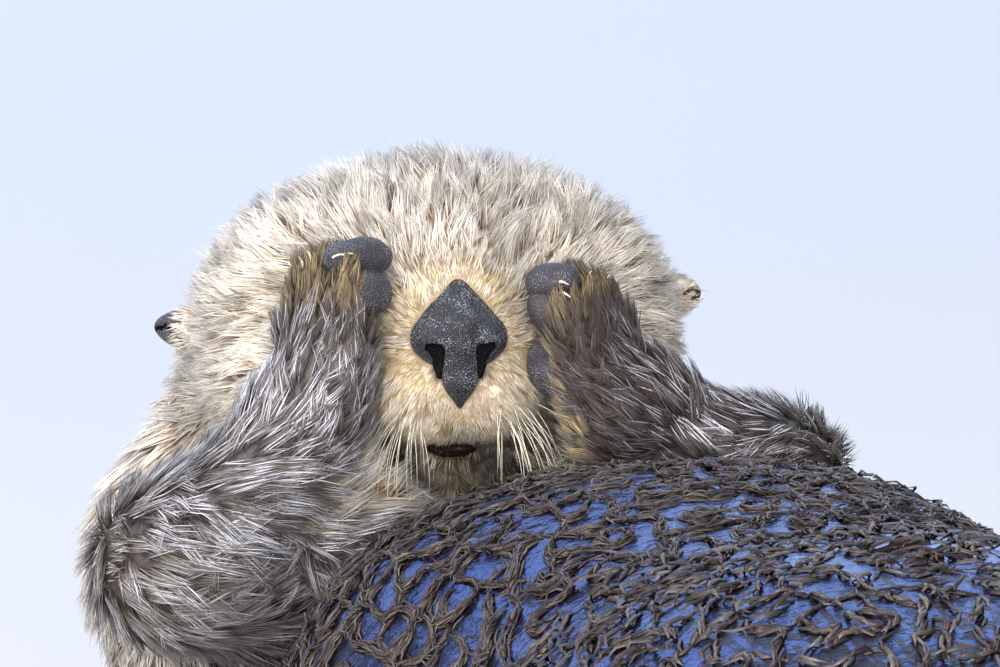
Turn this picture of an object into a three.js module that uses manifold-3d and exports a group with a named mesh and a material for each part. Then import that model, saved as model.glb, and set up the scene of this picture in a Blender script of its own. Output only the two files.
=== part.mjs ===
// Sea otter, life size, resting on its back with the head raised and both forepaws laid over its eyes.
// Millimetres, +Z up. The tail points along -Y and the otter's own left side is +X. The solids reach out
// to the tips of the coat. The flesh is a field of signed distances, blended from a few ellipsoids and
// tapered limbs. Each region is netted at its own cell size, and plane cuts part it into named pieces.
import * as THREE from "three";
import Module from "manifold-3d";

const wasm = await Module();
wasm.setup();

// ---- Driving dimensions -----------------------------------------------------------------------------
const gap = 0.4; // clearance between neighbouring pieces
const floorSink = 7; // how far the rounded back would reach below the floor it is pressed flat on
const sides = { left: 1, right: -1 }; // each side's sign along X

const limbClearance = 3; // between a limb and the body it lies on, for the flats of a coarse net

// Spacing of each net's grid lines.
const cell = { trunk: 38, head: 15, tail: 14, arm: 15, pad: 6.6, leg: 18, toe: 8, ear: 6, nose: 4.8 };

// The middle of the skull, the head's turn about +Z and the lift of its muzzle, in degrees.
const headAt = { x: 0, y: 0, z: 255, turn: -12.5, lift: 8 };
const headBack = 46; // behind the head's centre, where the neck begins
// The mouth line below the head's centre, its corners along the head, and how far it is open in front.
const mouth = { height: -42.5, corner: -34, open: 8 };
const muzzleAside = 1.6; // the muzzle stands this far to the left of the skull's middle
const eye = { apart: 33, height: 6, radius: 8 };

// Where the trunk and tail are parted, along Y.
const cuts = { chest: -255, rump: -505, tail: -712, tailMiddle: -880 };

// ---- Fields: signed distances, negative inside ------------------------------------------------------
const ellipsoid = ([cx, cy, cz], [rx, ry, rz]) => (x, y, z) => {
  const px = x - cx, py = y - cy, pz = z - cz;
  const scaled = Math.hypot(px / rx, py / ry, pz / rz);
  const slope = Math.hypot(px / rx ** 2, py / ry ** 2, pz / rz ** 2);
  return slope < 1e-9 ? -Math.min(rx, ry, rz) : (scaled * (scaled - 1)) / slope;
};

// An ellipsoid whose cross-section across Y is squared off by the power n.
const barrel = ([cx, cy, cz], [rx, ry, rz], n) => (x, y, z) => {
  const ax = Math.abs(x - cx) / rx, ay = Math.abs(y - cy) / ry, az = Math.abs(z - cz) / rz;
  const section = (ax ** n + az ** n) ** (1 / n);
  const scaled = Math.hypot(section, ay);
  if (scaled < 1e-6) return -Math.min(rx, ry, rz);
  const k = section > 0 ? section ** (2 - n) : 0;
  return ((scaled - 1) * scaled) / Math.hypot((k * ax ** (n - 1)) / rx, ay / ry, (k * az ** (n - 1)) / rz);
};

// A tapered limb with round ends, from point a with radius ra to point b with radius rb.
const limb = (a, b, ra, rb) => {
  const d = b.map((value, i) => value - a[i]);
  const squared = d[0] ** 2 + d[1] ** 2 + d[2] ** 2;
  return (x, y, z) => {
    const along = ((x - a[0]) * d[0] + (y - a[1]) * d[1] + (z - a[2]) * d[2]) / squared;
    const t = Math.min(1, Math.max(0, along));
    return Math.hypot(x - a[0] - t * d[0], y - a[1] - t * d[1], z - a[2] - t * d[2]) - (ra + t * (rb - ra));
  };
};

// The union of fields, with the creases between them filled over a width of k.
const blend = (k, ...fields) => (x, y, z) => {
  let found = fields[0](x, y, z);
  for (let i = 1; i < fields.length; i++) {
    const other = fields[i](x, y, z);
    const near = Math.max(k - Math.abs(found - other), 0) / k;
    found = Math.min(found, other) - (near * near * k) / 4;
  }
  return found;
};

// A field described in a local frame, read in the part's frame.
const placed = (frame, field) => {
  const m = frame.clone().invert().elements;
  return (x, y, z) => field(
    m[0] * x + m[4] * y + m[8] * z + m[12],
    m[1] * x + m[5] * y + m[9] * z + m[13],
    m[2] * x + m[6] * y + m[10] * z + m[14],
  );
};

const pair = (make) => [make(1), make(-1)];

// ---- Nets: closed meshes of a field -----------------------------------------------------------------
// Grid lines along one axis: each stretch [end, spacing] goes on from the last.
function ruled(start, ...stretches) {
  const lines = [start];
  for (const [end, spacing] of stretches) {
    const from = lines.at(-1);
    const count = Math.max(1, Math.round((end - from) / spacing));
    for (let i = 1; i <= count; i++) lines.push(from + ((end - from) * i) / count);
  }
  return lines;
}

// Even grid lines along all three axes, round some points and a margin beyond them.
const around = (points, margin, spacing) => [0, 1, 2].map((axis) => {
  const values = points.map((p) => p[axis]);
  return ruled(Math.min(...values) - margin, [Math.max(...values) + margin, spacing]);
});

// One vertex in each grid cell that the surface crosses, and one quad round each grid edge that it crosses.
function net(field, lines) {
  const [xs, ys, zs] = lines.map((line) => [2 * line[0] - line[1], ...line]); // one more empty layer
  const [nx, ny, nz] = [xs, ys, zs].map((line) => line.length);
  const at = (i, j, k) => (k * ny + j) * nx + i;
  const values = new Float64Array(nx * ny * nz);
  for (let k = 0; k < nz; k++)
    for (let j = 0; j < ny; j++)
      for (let i = 0; i < nx; i++) values[at(i, j, k)] = field(xs[i], ys[j], zs[k]);
  closeCorners(values, [nx, ny, nz], at);

  const corners = [0, 1, 2, 3, 4, 5, 6, 7].map((n) => [n & 1, (n >> 1) & 1, n >> 2]);
  const edges = [];
  corners.forEach((a, p) => corners.forEach((b, q) => {
    const steps = Math.abs(a[0] - b[0]) + Math.abs(a[1] - b[1]) + Math.abs(a[2] - b[2]);
    if (p < q && steps === 1) edges.push([a, b]);
  }));
  const vertexOf = new Int32Array(values.length).fill(-1);
  const positions = [];
  for (let k = 0; k < nz - 1; k++)
    for (let j = 0; j < ny - 1; j++)
      for (let i = 0; i < nx - 1; i++) {
        const sum = [0, 0, 0];
        let crossings = 0;
        for (const [a, b] of edges) {
          const va = values[at(i + a[0], j + a[1], k + a[2])];
          const vb = values[at(i + b[0], j + b[1], k + b[2])];
          if (va < 0 === vb < 0) continue;
          const t = va / (va - vb);
          for (let axis = 0; axis < 3; axis++) sum[axis] += a[axis] + t * (b[axis] - a[axis]);
          crossings++;
        }
        if (!crossings) continue;
        vertexOf[at(i, j, k)] = positions.length / 3;
        const low = [xs[i], ys[j], zs[k]];
        const size = [xs[i + 1] - xs[i], ys[j + 1] - ys[j], zs[k + 1] - zs[k]];
        positions.push(...settled(field, low, size, sum.map((value) => value / crossings)));
      }

  const index = [];
  const quad = ([a, b, c, d], flip) => index.push(...(flip ? [a, c, b, a, d, c] : [a, b, c, a, c, d]));
  const square = [[-1, -1], [0, -1], [0, 0], [-1, 0]];
  for (let k = 1; k < nz - 1; k++)
    for (let j = 1; j < ny - 1; j++)
      for (let i = 1; i < nx - 1; i++) {
        const inside = values[at(i, j, k)] < 0;
        if (inside !== values[at(i + 1, j, k)] < 0)
          quad(square.map(([v, w]) => vertexOf[at(i, j + v, k + w)]), !inside);
        if (inside !== values[at(i, j + 1, k)] < 0)
          quad(square.map(([v, w]) => vertexOf[at(i + w, j, k + v)]), !inside);
        if (inside !== values[at(i, j, k + 1)] < 0)
          quad(square.map(([v, w]) => vertexOf[at(i + v, j + w, k)]), !inside);
      }
  return { positions: new Float32Array(positions), index: new Uint32Array(index) };
}

// Where the flesh would meet itself along one edge, across the corners of a grid face, it is closed over.
function closeCorners(values, [nx, ny, nz], at) {
  const faces = [[[1, 0, 0], [0, 1, 0]], [[0, 1, 0], [0, 0, 1]], [[0, 0, 1], [1, 0, 0]]];
  let closed = 1;
  while (closed) {
    closed = 0;
    for (let k = 0; k < nz - 1; k++)
      for (let j = 0; j < ny - 1; j++)
        for (let i = 0; i < nx - 1; i++)
          for (const [u, v] of faces) {
            const across = (a, b) =>
              at(i + a * u[0] + b * v[0], j + a * u[1] + b * v[1], k + a * u[2] + b * v[2]);
            const ring = [across(0, 0), across(1, 0), across(1, 1), across(0, 1)];
            const inside = ring.map((n) => values[n] < 0);
            if (inside[0] === inside[1] || inside[0] !== inside[2] || inside[1] !== inside[3]) continue;
            const nearest = ring.filter((n) => values[n] >= 0).sort((a, b) => values[a] - values[b])[0];
            values[nearest] = -values[nearest] - 1e-3;
            closed++;
          }
  }
}

// A net vertex pulled onto the surface, but kept well inside its own cell so that no face turns over.
function settled(field, low, size, inCell) {
  const reach = 0.06; // of the cell, kept clear at its walls
  const place = () => inCell.map((value, axis) => low[axis] + value * size[axis]);
  const step = 0.05 * Math.min(...size);
  for (let round = 0; round < 3; round++) {
    const p = place();
    const value = field(...p);
    const slope = [0, 1, 2].map((axis) => {
      const q = [...p];
      q[axis] += step;
      return (field(...q) - value) / step;
    });
    const squared = slope[0] ** 2 + slope[1] ** 2 + slope[2] ** 2 || 1;
    slope.forEach((s, axis) => {
      const moved = inCell[axis] - (value * s) / squared / size[axis];
      inCell[axis] = Math.min(1 - reach, Math.max(reach, moved));
    });
  }
  return place();
}

const solidOf = ({ positions, index }) =>
  new wasm.Manifold(new wasm.Mesh({ numProp: 3, vertProperties: positions, triVerts: index }));

// The same net with each vertex moved outwards along its normal, to cut a neighbour with and keep the gap.
function grown({ positions, index }) {
  const geometry = new THREE.BufferGeometry();
  geometry.setAttribute("position", new THREE.BufferAttribute(positions, 3));
  geometry.setIndex(new THREE.BufferAttribute(index, 1));
  geometry.computeVertexNormals();
  const normals = geometry.getAttribute("normal").array;
  const moved = positions.map((value, i) => value + 2 * gap * normals[i]);
  return solidOf({ positions: moved, index });
}

// A three.js geometry, in a frame, as a solid.
function solidFrom(geometry, frame = new THREE.Matrix4()) {
  const moved = geometry.clone().applyMatrix4(frame);
  const keys = new Map();
  const positions = [];
  const source = moved.getAttribute("position");
  const order = moved.index ? [...moved.index.array] : [...Array(source.count).keys()];
  const merged = order.map((n) => {
    const p = [source.getX(n), source.getY(n), source.getZ(n)];
    const key = p.map((value) => Math.round(value * 1e3)).join();
    if (!keys.has(key)) {
      keys.set(key, keys.size);
      positions.push(...p);
    }
    return keys.get(key);
  });
  const index = [];
  for (let i = 0; i < merged.length; i += 3) {
    const [a, b, c] = merged.slice(i, i + 3);
    if (a !== b && b !== c && c !== a) index.push(a, b, c);
  }
  return solidOf({ positions: new Float32Array(positions), index: new Uint32Array(index) });
}

// What lies on the normal's side of a plane, less half the gap.
function keep(solid, point, normal, margin = gap / 2) {
  const n = new THREE.Vector3(...normal).normalize();
  return solid.trimByPlane(n.toArray(), n.dot(new THREE.Vector3(...point)) + margin);
}
const opposite = (normal) => normal.map((value) => -value);
const largest = (solid) => solid.decompose().sort((a, b) => b.volume() - a.volume())[0];

// ---- The head's own frame: muzzle along -Y, crown +Z, origin at the middle of the skull -------------
const headFrame = new THREE.Matrix4()
  .makeTranslation(headAt.x, headAt.y, headAt.z)
  .multiply(new THREE.Matrix4().makeRotationZ(THREE.MathUtils.degToRad(headAt.turn)))
  .multiply(new THREE.Matrix4().makeRotationX(THREE.MathUtils.degToRad(-headAt.lift)));
const inHead = (x, y, z) => new THREE.Vector3(x, y, z).applyMatrix4(headFrame).toArray();
const headWay = (x, y, z) => new THREE.Vector3(x, y, z).transformDirection(headFrame).toArray();

const headField = placed(headFrame, blend(
  20,
  ellipsoid([1, 14, -2], [88, 68, 60]), // braincase under its thick ruff
  ellipsoid([0, 52, -24], [88, 62, 62]), // nape
  ...pair((s) => ellipsoid([s * 42, -10, -24], [42, 40, 36])), // cheeks
  limb([0, -14, 20], [0, -50, 0], 32, 19), // brow down to the bridge
  ellipsoid([muzzleAside, -42, -20], [26, 31, 27]), // muzzle
  ...pair((s) => ellipsoid([muzzleAside + s * 13, -58, -29], [15, 16, 13.5])), // whisker pads
  limb([0, -24, -53], [muzzleAside, -49, -60], 18, 10), // chin and lower jaw
));

const onFloor = ([x, y], [rx, ry, rz], n) => barrel([x, y, rz - floorSink], [rx, ry, rz], n);
const trunkField = blend(
  50,
  onFloor([10, 14], [108, 88, 94], 2), // shoulders
  onFloor([36, -165], [146, 142, 118], 2.5), // chest
  onFloor([54, -335], [148, 190, 119], 2.4), // belly
  onFloor([42, -560], [114, 165, 94], 2.2), // rump
  limb([30, -690, 42 - floorSink], [18, -770, 30 - floorSink], 40, 30), // tail root
);
const neckField = ellipsoid([-8, 50, 160], [107, 74, 78]);
const flatTail = new THREE.Matrix4().makeScale(1, 1, 0.62);
const tailField = placed(flatTail, limb([30, -690, 32], [-16, -1040, 11], 40, 19));
const bodyField = blend(26, blend(40, trunkField, neckField), headField);

// ---- Body: a wide net for the trunk, closer ones for the tail and for the neck and head, parted by planes 
const plane = (point, normal) => {
  const n = new THREE.Vector3(...normal).normalize();
  const above = (x, y, z) => n.x * (x - point[0]) + n.y * (y - point[1]) + n.z * (z - point[2]);
  return { point, normal: n.toArray(), above };
};
const neckBase = plane([0, 20, 130], [0, 0.6, 0.8]);
const jawBase = plane(inHead(0, headBack - 20, -16), headWay(0, -0.79, 0.61));
const spare = 25; // each net runs this far past the plane it is cut at

const tailedField = blend(30, bodyField, tailField);
const trunkNet = net(
  (x, y, z) => Math.max(tailedField(x, y, z), neckBase.above(x, y, z) - spare, cuts.tail - spare - y),
  [ruled(-160, [244, cell.trunk]), ruled(-760, [160, cell.trunk]), ruled(-48, [264, 32])],
);
const tailNet = net((x, y, z) => Math.max(tailedField(x, y, z), y - cuts.tail - spare), [
  ruled(-90, [150, cell.tail]),
  ruled(-1090, [-640, 2 * cell.tail]),
  ruled(-30, [50, 10], [170, 24]),
]);
const upperNet = net((x, y, z) => Math.max(bodyField(x, y, z), -neckBase.above(x, y, z) - spare), [
  ruled(-120, [-64, 19], [64, cell.head], [140, 19]),
  ruled(-170, [40, cell.head], [150, 22]),
  ruled(40, [185, 24], [332, cell.head]),
]);
const onTheFloor = (solid) => keep(solid, [0, 0, 0], [0, 0, 1], 0);
const body = onTheFloor(solidOf(trunkNet));
const tail = onTheFloor(solidOf(tailNet));
const upper = keep(solidOf(upperNet), neckBase.point, neckBase.normal);
const bodyGrown = keep(grown(trunkNet), neckBase.point, opposite(neckBase.normal), 0)
  .add(keep(grown(upperNet), neckBase.point, neckBase.normal, 0));

// A limb's field, hollowed where the body fills it.
const outside = (field) => (x, y, z) => Math.max(field(x, y, z), limbClearance - tailedField(x, y, z));

const along = [0, 1, 0];
const between = (solid, back, front) =>
  keep(keep(solid, [0, back, 0], along), [0, front, 0], opposite(along));
const headWhole = keep(upper, jawBase.point, jawBase.normal);
const neck = keep(upper, jawBase.point, opposite(jawBase.normal));
const chest = keep(between(body, cuts.chest, 1000), neckBase.point, opposite(neckBase.normal));
const belly = between(body, cuts.rump, cuts.chest);
const rump = between(body, cuts.tail, cuts.rump);
const tailRoot = between(tail, cuts.tailMiddle, cuts.tail);
const tailTip = between(tail, -2000, cuts.tailMiddle);

// ---- Head: skull with cheeks and muzzle, lower jaw, nose, eyes and ears -----------------------------
const noseFrame = headFrame.clone().multiply(new THREE.Matrix4().makeTranslation(muzzleAside, 0, 0));
const noseField = placed(noseFrame, blend(
  3,
  ...pair((s) => limb([s * 0.8, -65.5, 8.5], [s * 9.6, -73.5, -6], 4.6, 6.7)), // from the apex to the wings
  limb([0, -67, 5], [0, -74.5, -6], 6, 9), // full middle
  ...pair((s) => ellipsoid([s * 10.4, -73, -8.5], [6, 9, 6])), // wings over the nostrils
  limb([0, -76, -11], [0, -75, -22], 6.8, 5.6), // stem
  limb([0, -75, -22], [0, -71.5, -31], 5.6, 1.6), // down to a point at the lip
));
const noseNet = net(noseField, around([inHead(0, -76, -10)], 42, cell.nose));
const nostrils = pair((s) => solidFrom(
  new THREE.SphereGeometry(1, 10, 8),
  noseFrame.clone()
    .multiply(new THREE.Matrix4().makeTranslation(s * 9, -83, -12.5))
    .scale(new THREE.Vector3(3.4, 7, 2.6)),
));
const nose = nostrils.reduce((solid, hole) => solid.subtract(hole), solidOf(noseNet));

const eyeSolids = Object.fromEntries(Object.entries(sides).map(([side, s]) => {
  const at = [s * eye.apart, -43, eye.height];
  const ball = (radius) => solidFrom(new THREE.SphereGeometry(radius, 10, 6),
    headFrame.clone().multiply(new THREE.Matrix4().makeTranslation(...at)));
  return [side, { ball: ball(eye.radius), socket: ball(eye.radius + gap) }];
}));

// The lower jaw lies under the mouth line. The cut out of the head is larger than the jaw by the open mouth
// in front and by the gap behind.
const jawProfile = (lip, slack) => new THREE.Shape([
  new THREE.Vector2(mouth.corner + slack, mouth.height),
  new THREE.Vector2(-130, mouth.height - lip),
  new THREE.Vector2(-130, -140),
  new THREE.Vector2(mouth.corner + 46 + slack, -140),
]);
const through = { depth: 200, bevelEnabled: false };
const jawBlock = (lip, slack) => solidFrom(
  new THREE.ExtrudeGeometry(jawProfile(lip, slack), through).translate(0, 0, -100),
  headFrame.clone().multiply(new THREE.Matrix4().makeBasis(
    new THREE.Vector3(0, 1, 0), new THREE.Vector3(0, 0, 1), new THREE.Vector3(1, 0, 0))),
);
const jaw = largest(headWhole.intersect(jawBlock(mouth.open, 0)));
const head = largest(
  [jawBlock(0, gap * 1.5), grown(noseNet), eyeSolids.left.socket, eyeSolids.right.socket]
    .reduce((solid, cutter) => solid.subtract(cutter), headWhole),
);

const ear = {
  out: 84, back: 20, height: { left: 3, right: -6 }, lean: 30,
  length: 14.5, depth: 7, tall: 9.5,
};
const ears = Object.fromEntries(Object.entries(sides).map(([side, s]) => {
  const frame = headFrame.clone()
    .multiply(new THREE.Matrix4().makeTranslation(s * ear.out, ear.back, ear.height[side]))
    .multiply(new THREE.Matrix4().makeRotationZ(THREE.MathUtils.degToRad(s * ear.lean)));
  const shell = ellipsoid([0, 0, 0], [ear.length, ear.depth, ear.tall]);
  const fold = limb([s * 2, -9, -1.5], [s * 15, -7.5, -2.5], 5.2, 4);
  const field = placed(frame, (x, y, z) => Math.max(shell(x, y, z), -fold(x, y, z)));
  const at = new THREE.Vector3().setFromMatrixPosition(frame).toArray();
  return [side, largest(solidOf(net(field, around([at], 26, cell.ear))).subtract(bodyGrown))];
}));

// ---- Forelimbs: upper arm, forearm, paw, two pads and five claws on each side -----------------------
// Joints are in the head's frame, because the paws are laid over the eyes.
const arms = {
  right: {
    shoulder: [-42, 18, -92], elbow: [-98, -50, -85], wrist: [-45, -66, -26], tips: [-39, -61, 29],
    back: [-0.85, -0.52, 0.08], skin: [-30, -44, -78], slack: 27,
    finger: { y: -3, z: 51, deep: 11.5, tall: 7.2 }, palm: { y: -9.5, z: 36, deep: 8.5, tall: 9.5 },
  },
  left: {
    shoulder: [62, 8, -82], elbow: [112, -52, -62], wrist: [54, -67, -26], tips: [43, -64, 8],
    back: [0.85, -0.52, 0.08], skin: [56, -47, -64], slack: 22,
    finger: { y: -3, z: 42, deep: 10.5, tall: 7.5 }, palm: { y: -12, z: 11, deep: 8, tall: 15 },
  },
};
const armRadius = { shoulder: 38, elbow: 24, wrist: 18 };
const pawSize = { width: 23, depth: 13, length: 30, middle: 17 };
const clear = (solid, ...others) => largest(others.reduce((left, other) => left.subtract(other), solid));
const mix = (a, b, t) => a.map((value, i) => value + t * (b[i] - value));

const armParts = {};
for (const [side, s] of Object.entries(sides)) {
  const { shoulder, elbow, wrist, tips, back, skin, slack, finger, palm } = arms[side];
  const upperField = limb(shoulder, elbow, armRadius.shoulder, armRadius.elbow);
  const foreField = blend(
    18,
    limb(elbow, wrist, armRadius.elbow, armRadius.wrist),
    limb(skin, mix(elbow, wrist, 0.75), slack, 16), // loose skin from the armpit
  );
  // The paw's own frame: X across the palm, Y out of the back of the paw, Z towards the finger tips.
  const ahead = new THREE.Vector3(...tips).sub(new THREE.Vector3(...wrist)).normalize();
  const across = new THREE.Vector3(...back).cross(ahead).normalize();
  const outwards = ahead.clone().cross(across);
  const pawFrame = headFrame.clone()
    .multiply(new THREE.Matrix4().makeTranslation(...wrist))
    .multiply(new THREE.Matrix4().makeBasis(across, outwards, ahead));
  const pawField = placed(pawFrame, blend(
    10,
    ellipsoid([0, 0, pawSize.middle], [pawSize.width, pawSize.depth, pawSize.length]),
    limb([0, 0, -12], [0, 0, 14], 17, 13),
  ));
  const armField = blend(16, placed(headFrame, blend(26, upperField, foreField)), pawField);
  const fingerPad = placed(pawFrame, blend(
    3,
    ...[-1.5, -0.5, 0.5, 1.5].map((n) =>
      ellipsoid([n * 8.3, finger.y, finger.z - Math.abs(n) * 2], [6.4, finger.deep, finger.tall])),
  ));
  const palmPad = placed(pawFrame, blend(
    4,
    ...[-1, 0, 1].map((n) => ellipsoid([n * 9, palm.y, palm.z + Math.abs(n) * 1.5], [8, palm.deep, palm.tall])),
  ));
  const mid = inHead(...mix(wrist, tips, 0.5));
  const padLines = around([mid], 58, cell.pad);
  const pads = { finger: net(fingerPad, padLines), palm: net(palmPad, padLines) };
  const joints = [elbow, shoulder, wrist, tips].map((p) => inHead(...p));
  const armNet = net(outside(armField), around(joints, 50, cell.arm));
  const arm = solidOf(armNet);

  const elbowPlane = new THREE.Vector3(...wrist).sub(new THREE.Vector3(...elbow)).normalize()
    .sub(new THREE.Vector3(...shoulder).sub(new THREE.Vector3(...elbow)).normalize());
  const elbowNormal = headWay(...elbowPlane.toArray());
  const wristNormal = ahead.clone().transformDirection(headFrame).toArray();
  const at = { elbow: inHead(...elbow), wrist: inHead(...wrist) };

  const upperArm = keep(arm, at.elbow, opposite(elbowNormal));
  const fore = keep(keep(arm, at.elbow, elbowNormal), at.wrist, opposite(wristNormal));
  const paw = keep(arm, at.wrist, wristNormal);
  const armGrown = grown(armNet);
  const padGrown = [grown(pads.finger), grown(pads.palm)];
  armParts[side] = {
    upper_arm: clear(upperArm),
    forearm: clear(fore, ...padGrown),
    forepaw: clear(paw, eyeSolids[side].socket, ...padGrown),
    finger_pad: clear(solidOf(pads.finger), bodyGrown, eyeSolids[side].socket),
    palm_pad: clear(solidOf(pads.palm), bodyGrown, eyeSolids[side].socket, padGrown[0]),
  };
  [-2, -1, 0, 1, 2].forEach((n) => {
    const cone = new THREE.ConeGeometry(1.8, 9, 5).rotateX(Math.PI / 2);
    const claw = solidFrom(cone.translate(n * 6.6, finger.y + 10, finger.z - 1 - Math.abs(n) * 2), pawFrame);
    armParts[side]["claw_" + (n + 3)] = clear(claw, armGrown, ...padGrown);
  });
}

// ---- Hind limbs: thigh, shin, webbed flipper and five claws on each side ----------------------------
const legs = { hip: [58, -570, 92], knee: [124, -630, 62], ankle: [118, -716, 33], heel: [118, -728, 24] };
const flipper = { splay: 20, lift: 9, toes: [122, 140, 153, 166, 178], fan: 9.5, web: 6.4 };
const rumpMiddle = 30;
const legParts = {};
for (const [side, s] of Object.entries(sides)) {
  const on = ([x, y, z]) => [s * x + rumpMiddle, y, z];
  const [hip, knee, ankle, heel] = ["hip", "knee", "ankle", "heel"].map((name) => on(legs[name]));
  // The flipper's own frame: X outwards across the toes, Y out of the back of the foot, Z to the toe tips.
  const upright = new THREE.Vector3(0, 0, 1);
  const splay = THREE.MathUtils.degToRad(s * flipper.splay);
  const ahead = new THREE.Vector3(0, -1, 0)
    .applyAxisAngle(new THREE.Vector3(1, 0, 0), THREE.MathUtils.degToRad(-flipper.lift))
    .applyAxisAngle(upright, splay);
  const across = new THREE.Vector3(s, 0, 0).applyAxisAngle(upright, splay);
  const outwards = ahead.clone().cross(across).multiplyScalar(s);
  const flipperFrame = new THREE.Matrix4().makeTranslation(...ankle)
    .multiply(new THREE.Matrix4().makeBasis(across.clone().multiplyScalar(s), outwards, ahead));
  const toeWay = (n) => THREE.MathUtils.degToRad((n - 2) * flipper.fan);
  const toes = flipper.toes.map((length, n) => {
    const way = toeWay(n);
    const tip = [s * Math.sin(way) * length, 0, Math.cos(way) * length];
    return limb([s * (n - 2) * 10, 0, 8], tip, 13, 9);
  });
  const webs = flipper.toes.slice(1).map((length, n) => {
    const way = toeWay(n + 0.5);
    const reach = 0.5 * (length + flipper.toes[n]) - 22;
    const end = [s * Math.sin(way) * reach, 0, Math.cos(way) * reach];
    return limb([s * (n - 1.5) * 9, 0, 20], end, 8, flipper.web);
  });
  const legField = blend(
    24,
    limb(hip, knee, 66, 45),
    limb(knee, ankle, 43, 26),
    ellipsoid(heel, [26, 26, 30]),
    placed(flipperFrame, blend(9, ...toes, ...webs)),
  );
  const legNet = net(outside(legField), [
    ruled(rumpMiddle + Math.min(-30, s * 250), [rumpMiddle + Math.max(30, s * 250), cell.leg]),
    ruled(-930, [-735, 0.75 * cell.leg], [-480, cell.trunk]),
    ruled(-30, [90, cell.toe], [190, cell.trunk]),
  ]);
  const leg = onTheFloor(solidOf(legNet));
  const kneeNormal = new THREE.Vector3(...ankle).sub(new THREE.Vector3(...hip)).toArray();
  const ankleNormal = ahead.toArray();
  legParts[side] = {
    thigh: largest(keep(leg, knee, opposite(kneeNormal))),
    shin: largest(keep(keep(leg, knee, kneeNormal), heel, opposite(ankleNormal))),
    flipper: largest(keep(leg, heel, ankleNormal)),
  };
  const legGrown = grown(legNet);
  flipper.toes.forEach((length, n) => {
    const way = toeWay(n);
    const reach = length + 4;
    const frame = flipperFrame.clone()
      .multiply(new THREE.Matrix4().makeTranslation(s * Math.sin(way) * reach, 3, Math.cos(way) * reach))
      .multiply(new THREE.Matrix4().makeRotationY(s * way));
    const claw = solidFrom(new THREE.ConeGeometry(2.6, 16, 6).rotateX(Math.PI / 2), frame);
    legParts[side]["toe_claw_" + (n + 1)] = largest(claw.subtract(legGrown));
  });
}

// ---- The group: every piece its own named mesh, on the middle of its own footprint ------------------
const coats = {
  pale_fur: { color: 0xd9c8ad, roughness: 0.85 },
  grizzled_fur: { color: 0x7a6a5a, roughness: 0.8 },
  wet_fur: { color: 0x3c2a20, roughness: 0.45 },
  nose_skin: { color: 0x25262c, roughness: 0.6 },
  pad_skin: { color: 0x35353c, roughness: 0.6 },
  horn: { color: 0xb9a78c, roughness: 0.4 },
  eye: { color: 0x120c08, roughness: 0.1 },
};
const materials = Object.fromEntries(Object.entries(coats).map(([name, look]) =>
  [name, new THREE.MeshStandardMaterial({ name, metalness: 0, ...look })]));

const otter = new THREE.Group();
function add(name, solid, material) {
  const { numProp, vertProperties, triVerts } = solid.getMesh();
  const geometry = new THREE.BufferGeometry();
  geometry.setAttribute("position", new THREE.InterleavedBufferAttribute(
    new THREE.InterleavedBuffer(vertProperties, numProp), 3, 0));
  geometry.setIndex(new THREE.BufferAttribute(triVerts, 1));
  geometry.computeVertexNormals();
  const mesh = new THREE.Mesh(geometry, materials[material]);
  mesh.name = name;
  otter.add(mesh);
}
add("head", head, "pale_fur");
add("lower_jaw", jaw, "pale_fur");
add("nose", nose, "nose_skin");
add("neck", neck, "pale_fur");
add("chest", chest, "wet_fur");
add("belly", belly, "wet_fur");
add("rump", rump, "wet_fur");
add("tail_root", tailRoot, "wet_fur");
add("tail_tip", tailTip, "wet_fur");
const materialOf = (piece) =>
  piece.includes("claw") ? "horn" : piece.includes("pad") ? "pad_skin"
    : ["thigh", "shin", "flipper"].includes(piece) ? "wet_fur" : "grizzled_fur";
for (const side of Object.keys(sides)) {
  add("ear_" + side, ears[side], "pale_fur");
  add("eye_" + side, eyeSolids[side].ball, "eye");
  for (const parts of [armParts[side], legParts[side]])
    for (const [piece, solid] of Object.entries(parts)) add(piece + "_" + side, solid, materialOf(piece));
}
const box = new THREE.Box3().setFromObject(otter);
otter.position.set(-(box.min.x + box.max.x) / 2, -(box.min.y + box.max.y) / 2, -box.min.z);

export default otter;
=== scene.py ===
import math

import bpy
import numpy as np
from mathutils import Matrix, Vector


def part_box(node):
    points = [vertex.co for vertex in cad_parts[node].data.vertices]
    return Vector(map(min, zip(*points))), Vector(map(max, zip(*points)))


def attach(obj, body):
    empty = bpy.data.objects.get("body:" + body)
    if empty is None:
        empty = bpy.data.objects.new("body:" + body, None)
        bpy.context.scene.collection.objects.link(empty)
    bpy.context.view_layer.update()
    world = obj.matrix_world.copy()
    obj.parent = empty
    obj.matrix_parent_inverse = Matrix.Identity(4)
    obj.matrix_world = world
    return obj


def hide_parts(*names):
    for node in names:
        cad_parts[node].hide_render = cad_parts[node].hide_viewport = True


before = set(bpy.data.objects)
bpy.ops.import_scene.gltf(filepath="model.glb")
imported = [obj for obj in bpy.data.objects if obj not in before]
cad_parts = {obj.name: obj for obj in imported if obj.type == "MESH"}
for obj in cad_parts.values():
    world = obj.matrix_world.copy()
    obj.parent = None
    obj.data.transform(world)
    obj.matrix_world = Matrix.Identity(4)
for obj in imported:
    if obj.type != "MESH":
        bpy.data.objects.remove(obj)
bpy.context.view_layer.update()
print("otter: frame loaded")


# Small vector helpers. Points are rows of an array, in metres; mm() reads sizes in millimetres.
def mm(*values):
    return np.array(values, float) / 1000


def size(v):
    return np.sqrt((v * v).sum(-1))


def unit(v):
    return v / np.maximum(size(v), 1e-9)[..., None]


def ease(low, high, value):
    t = np.clip((value - low) / (high - low), 0, 1)
    return t * t * (3 - 2 * t)


def dot(a, b):
    return (a * b).sum(-1)[..., None]


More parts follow.
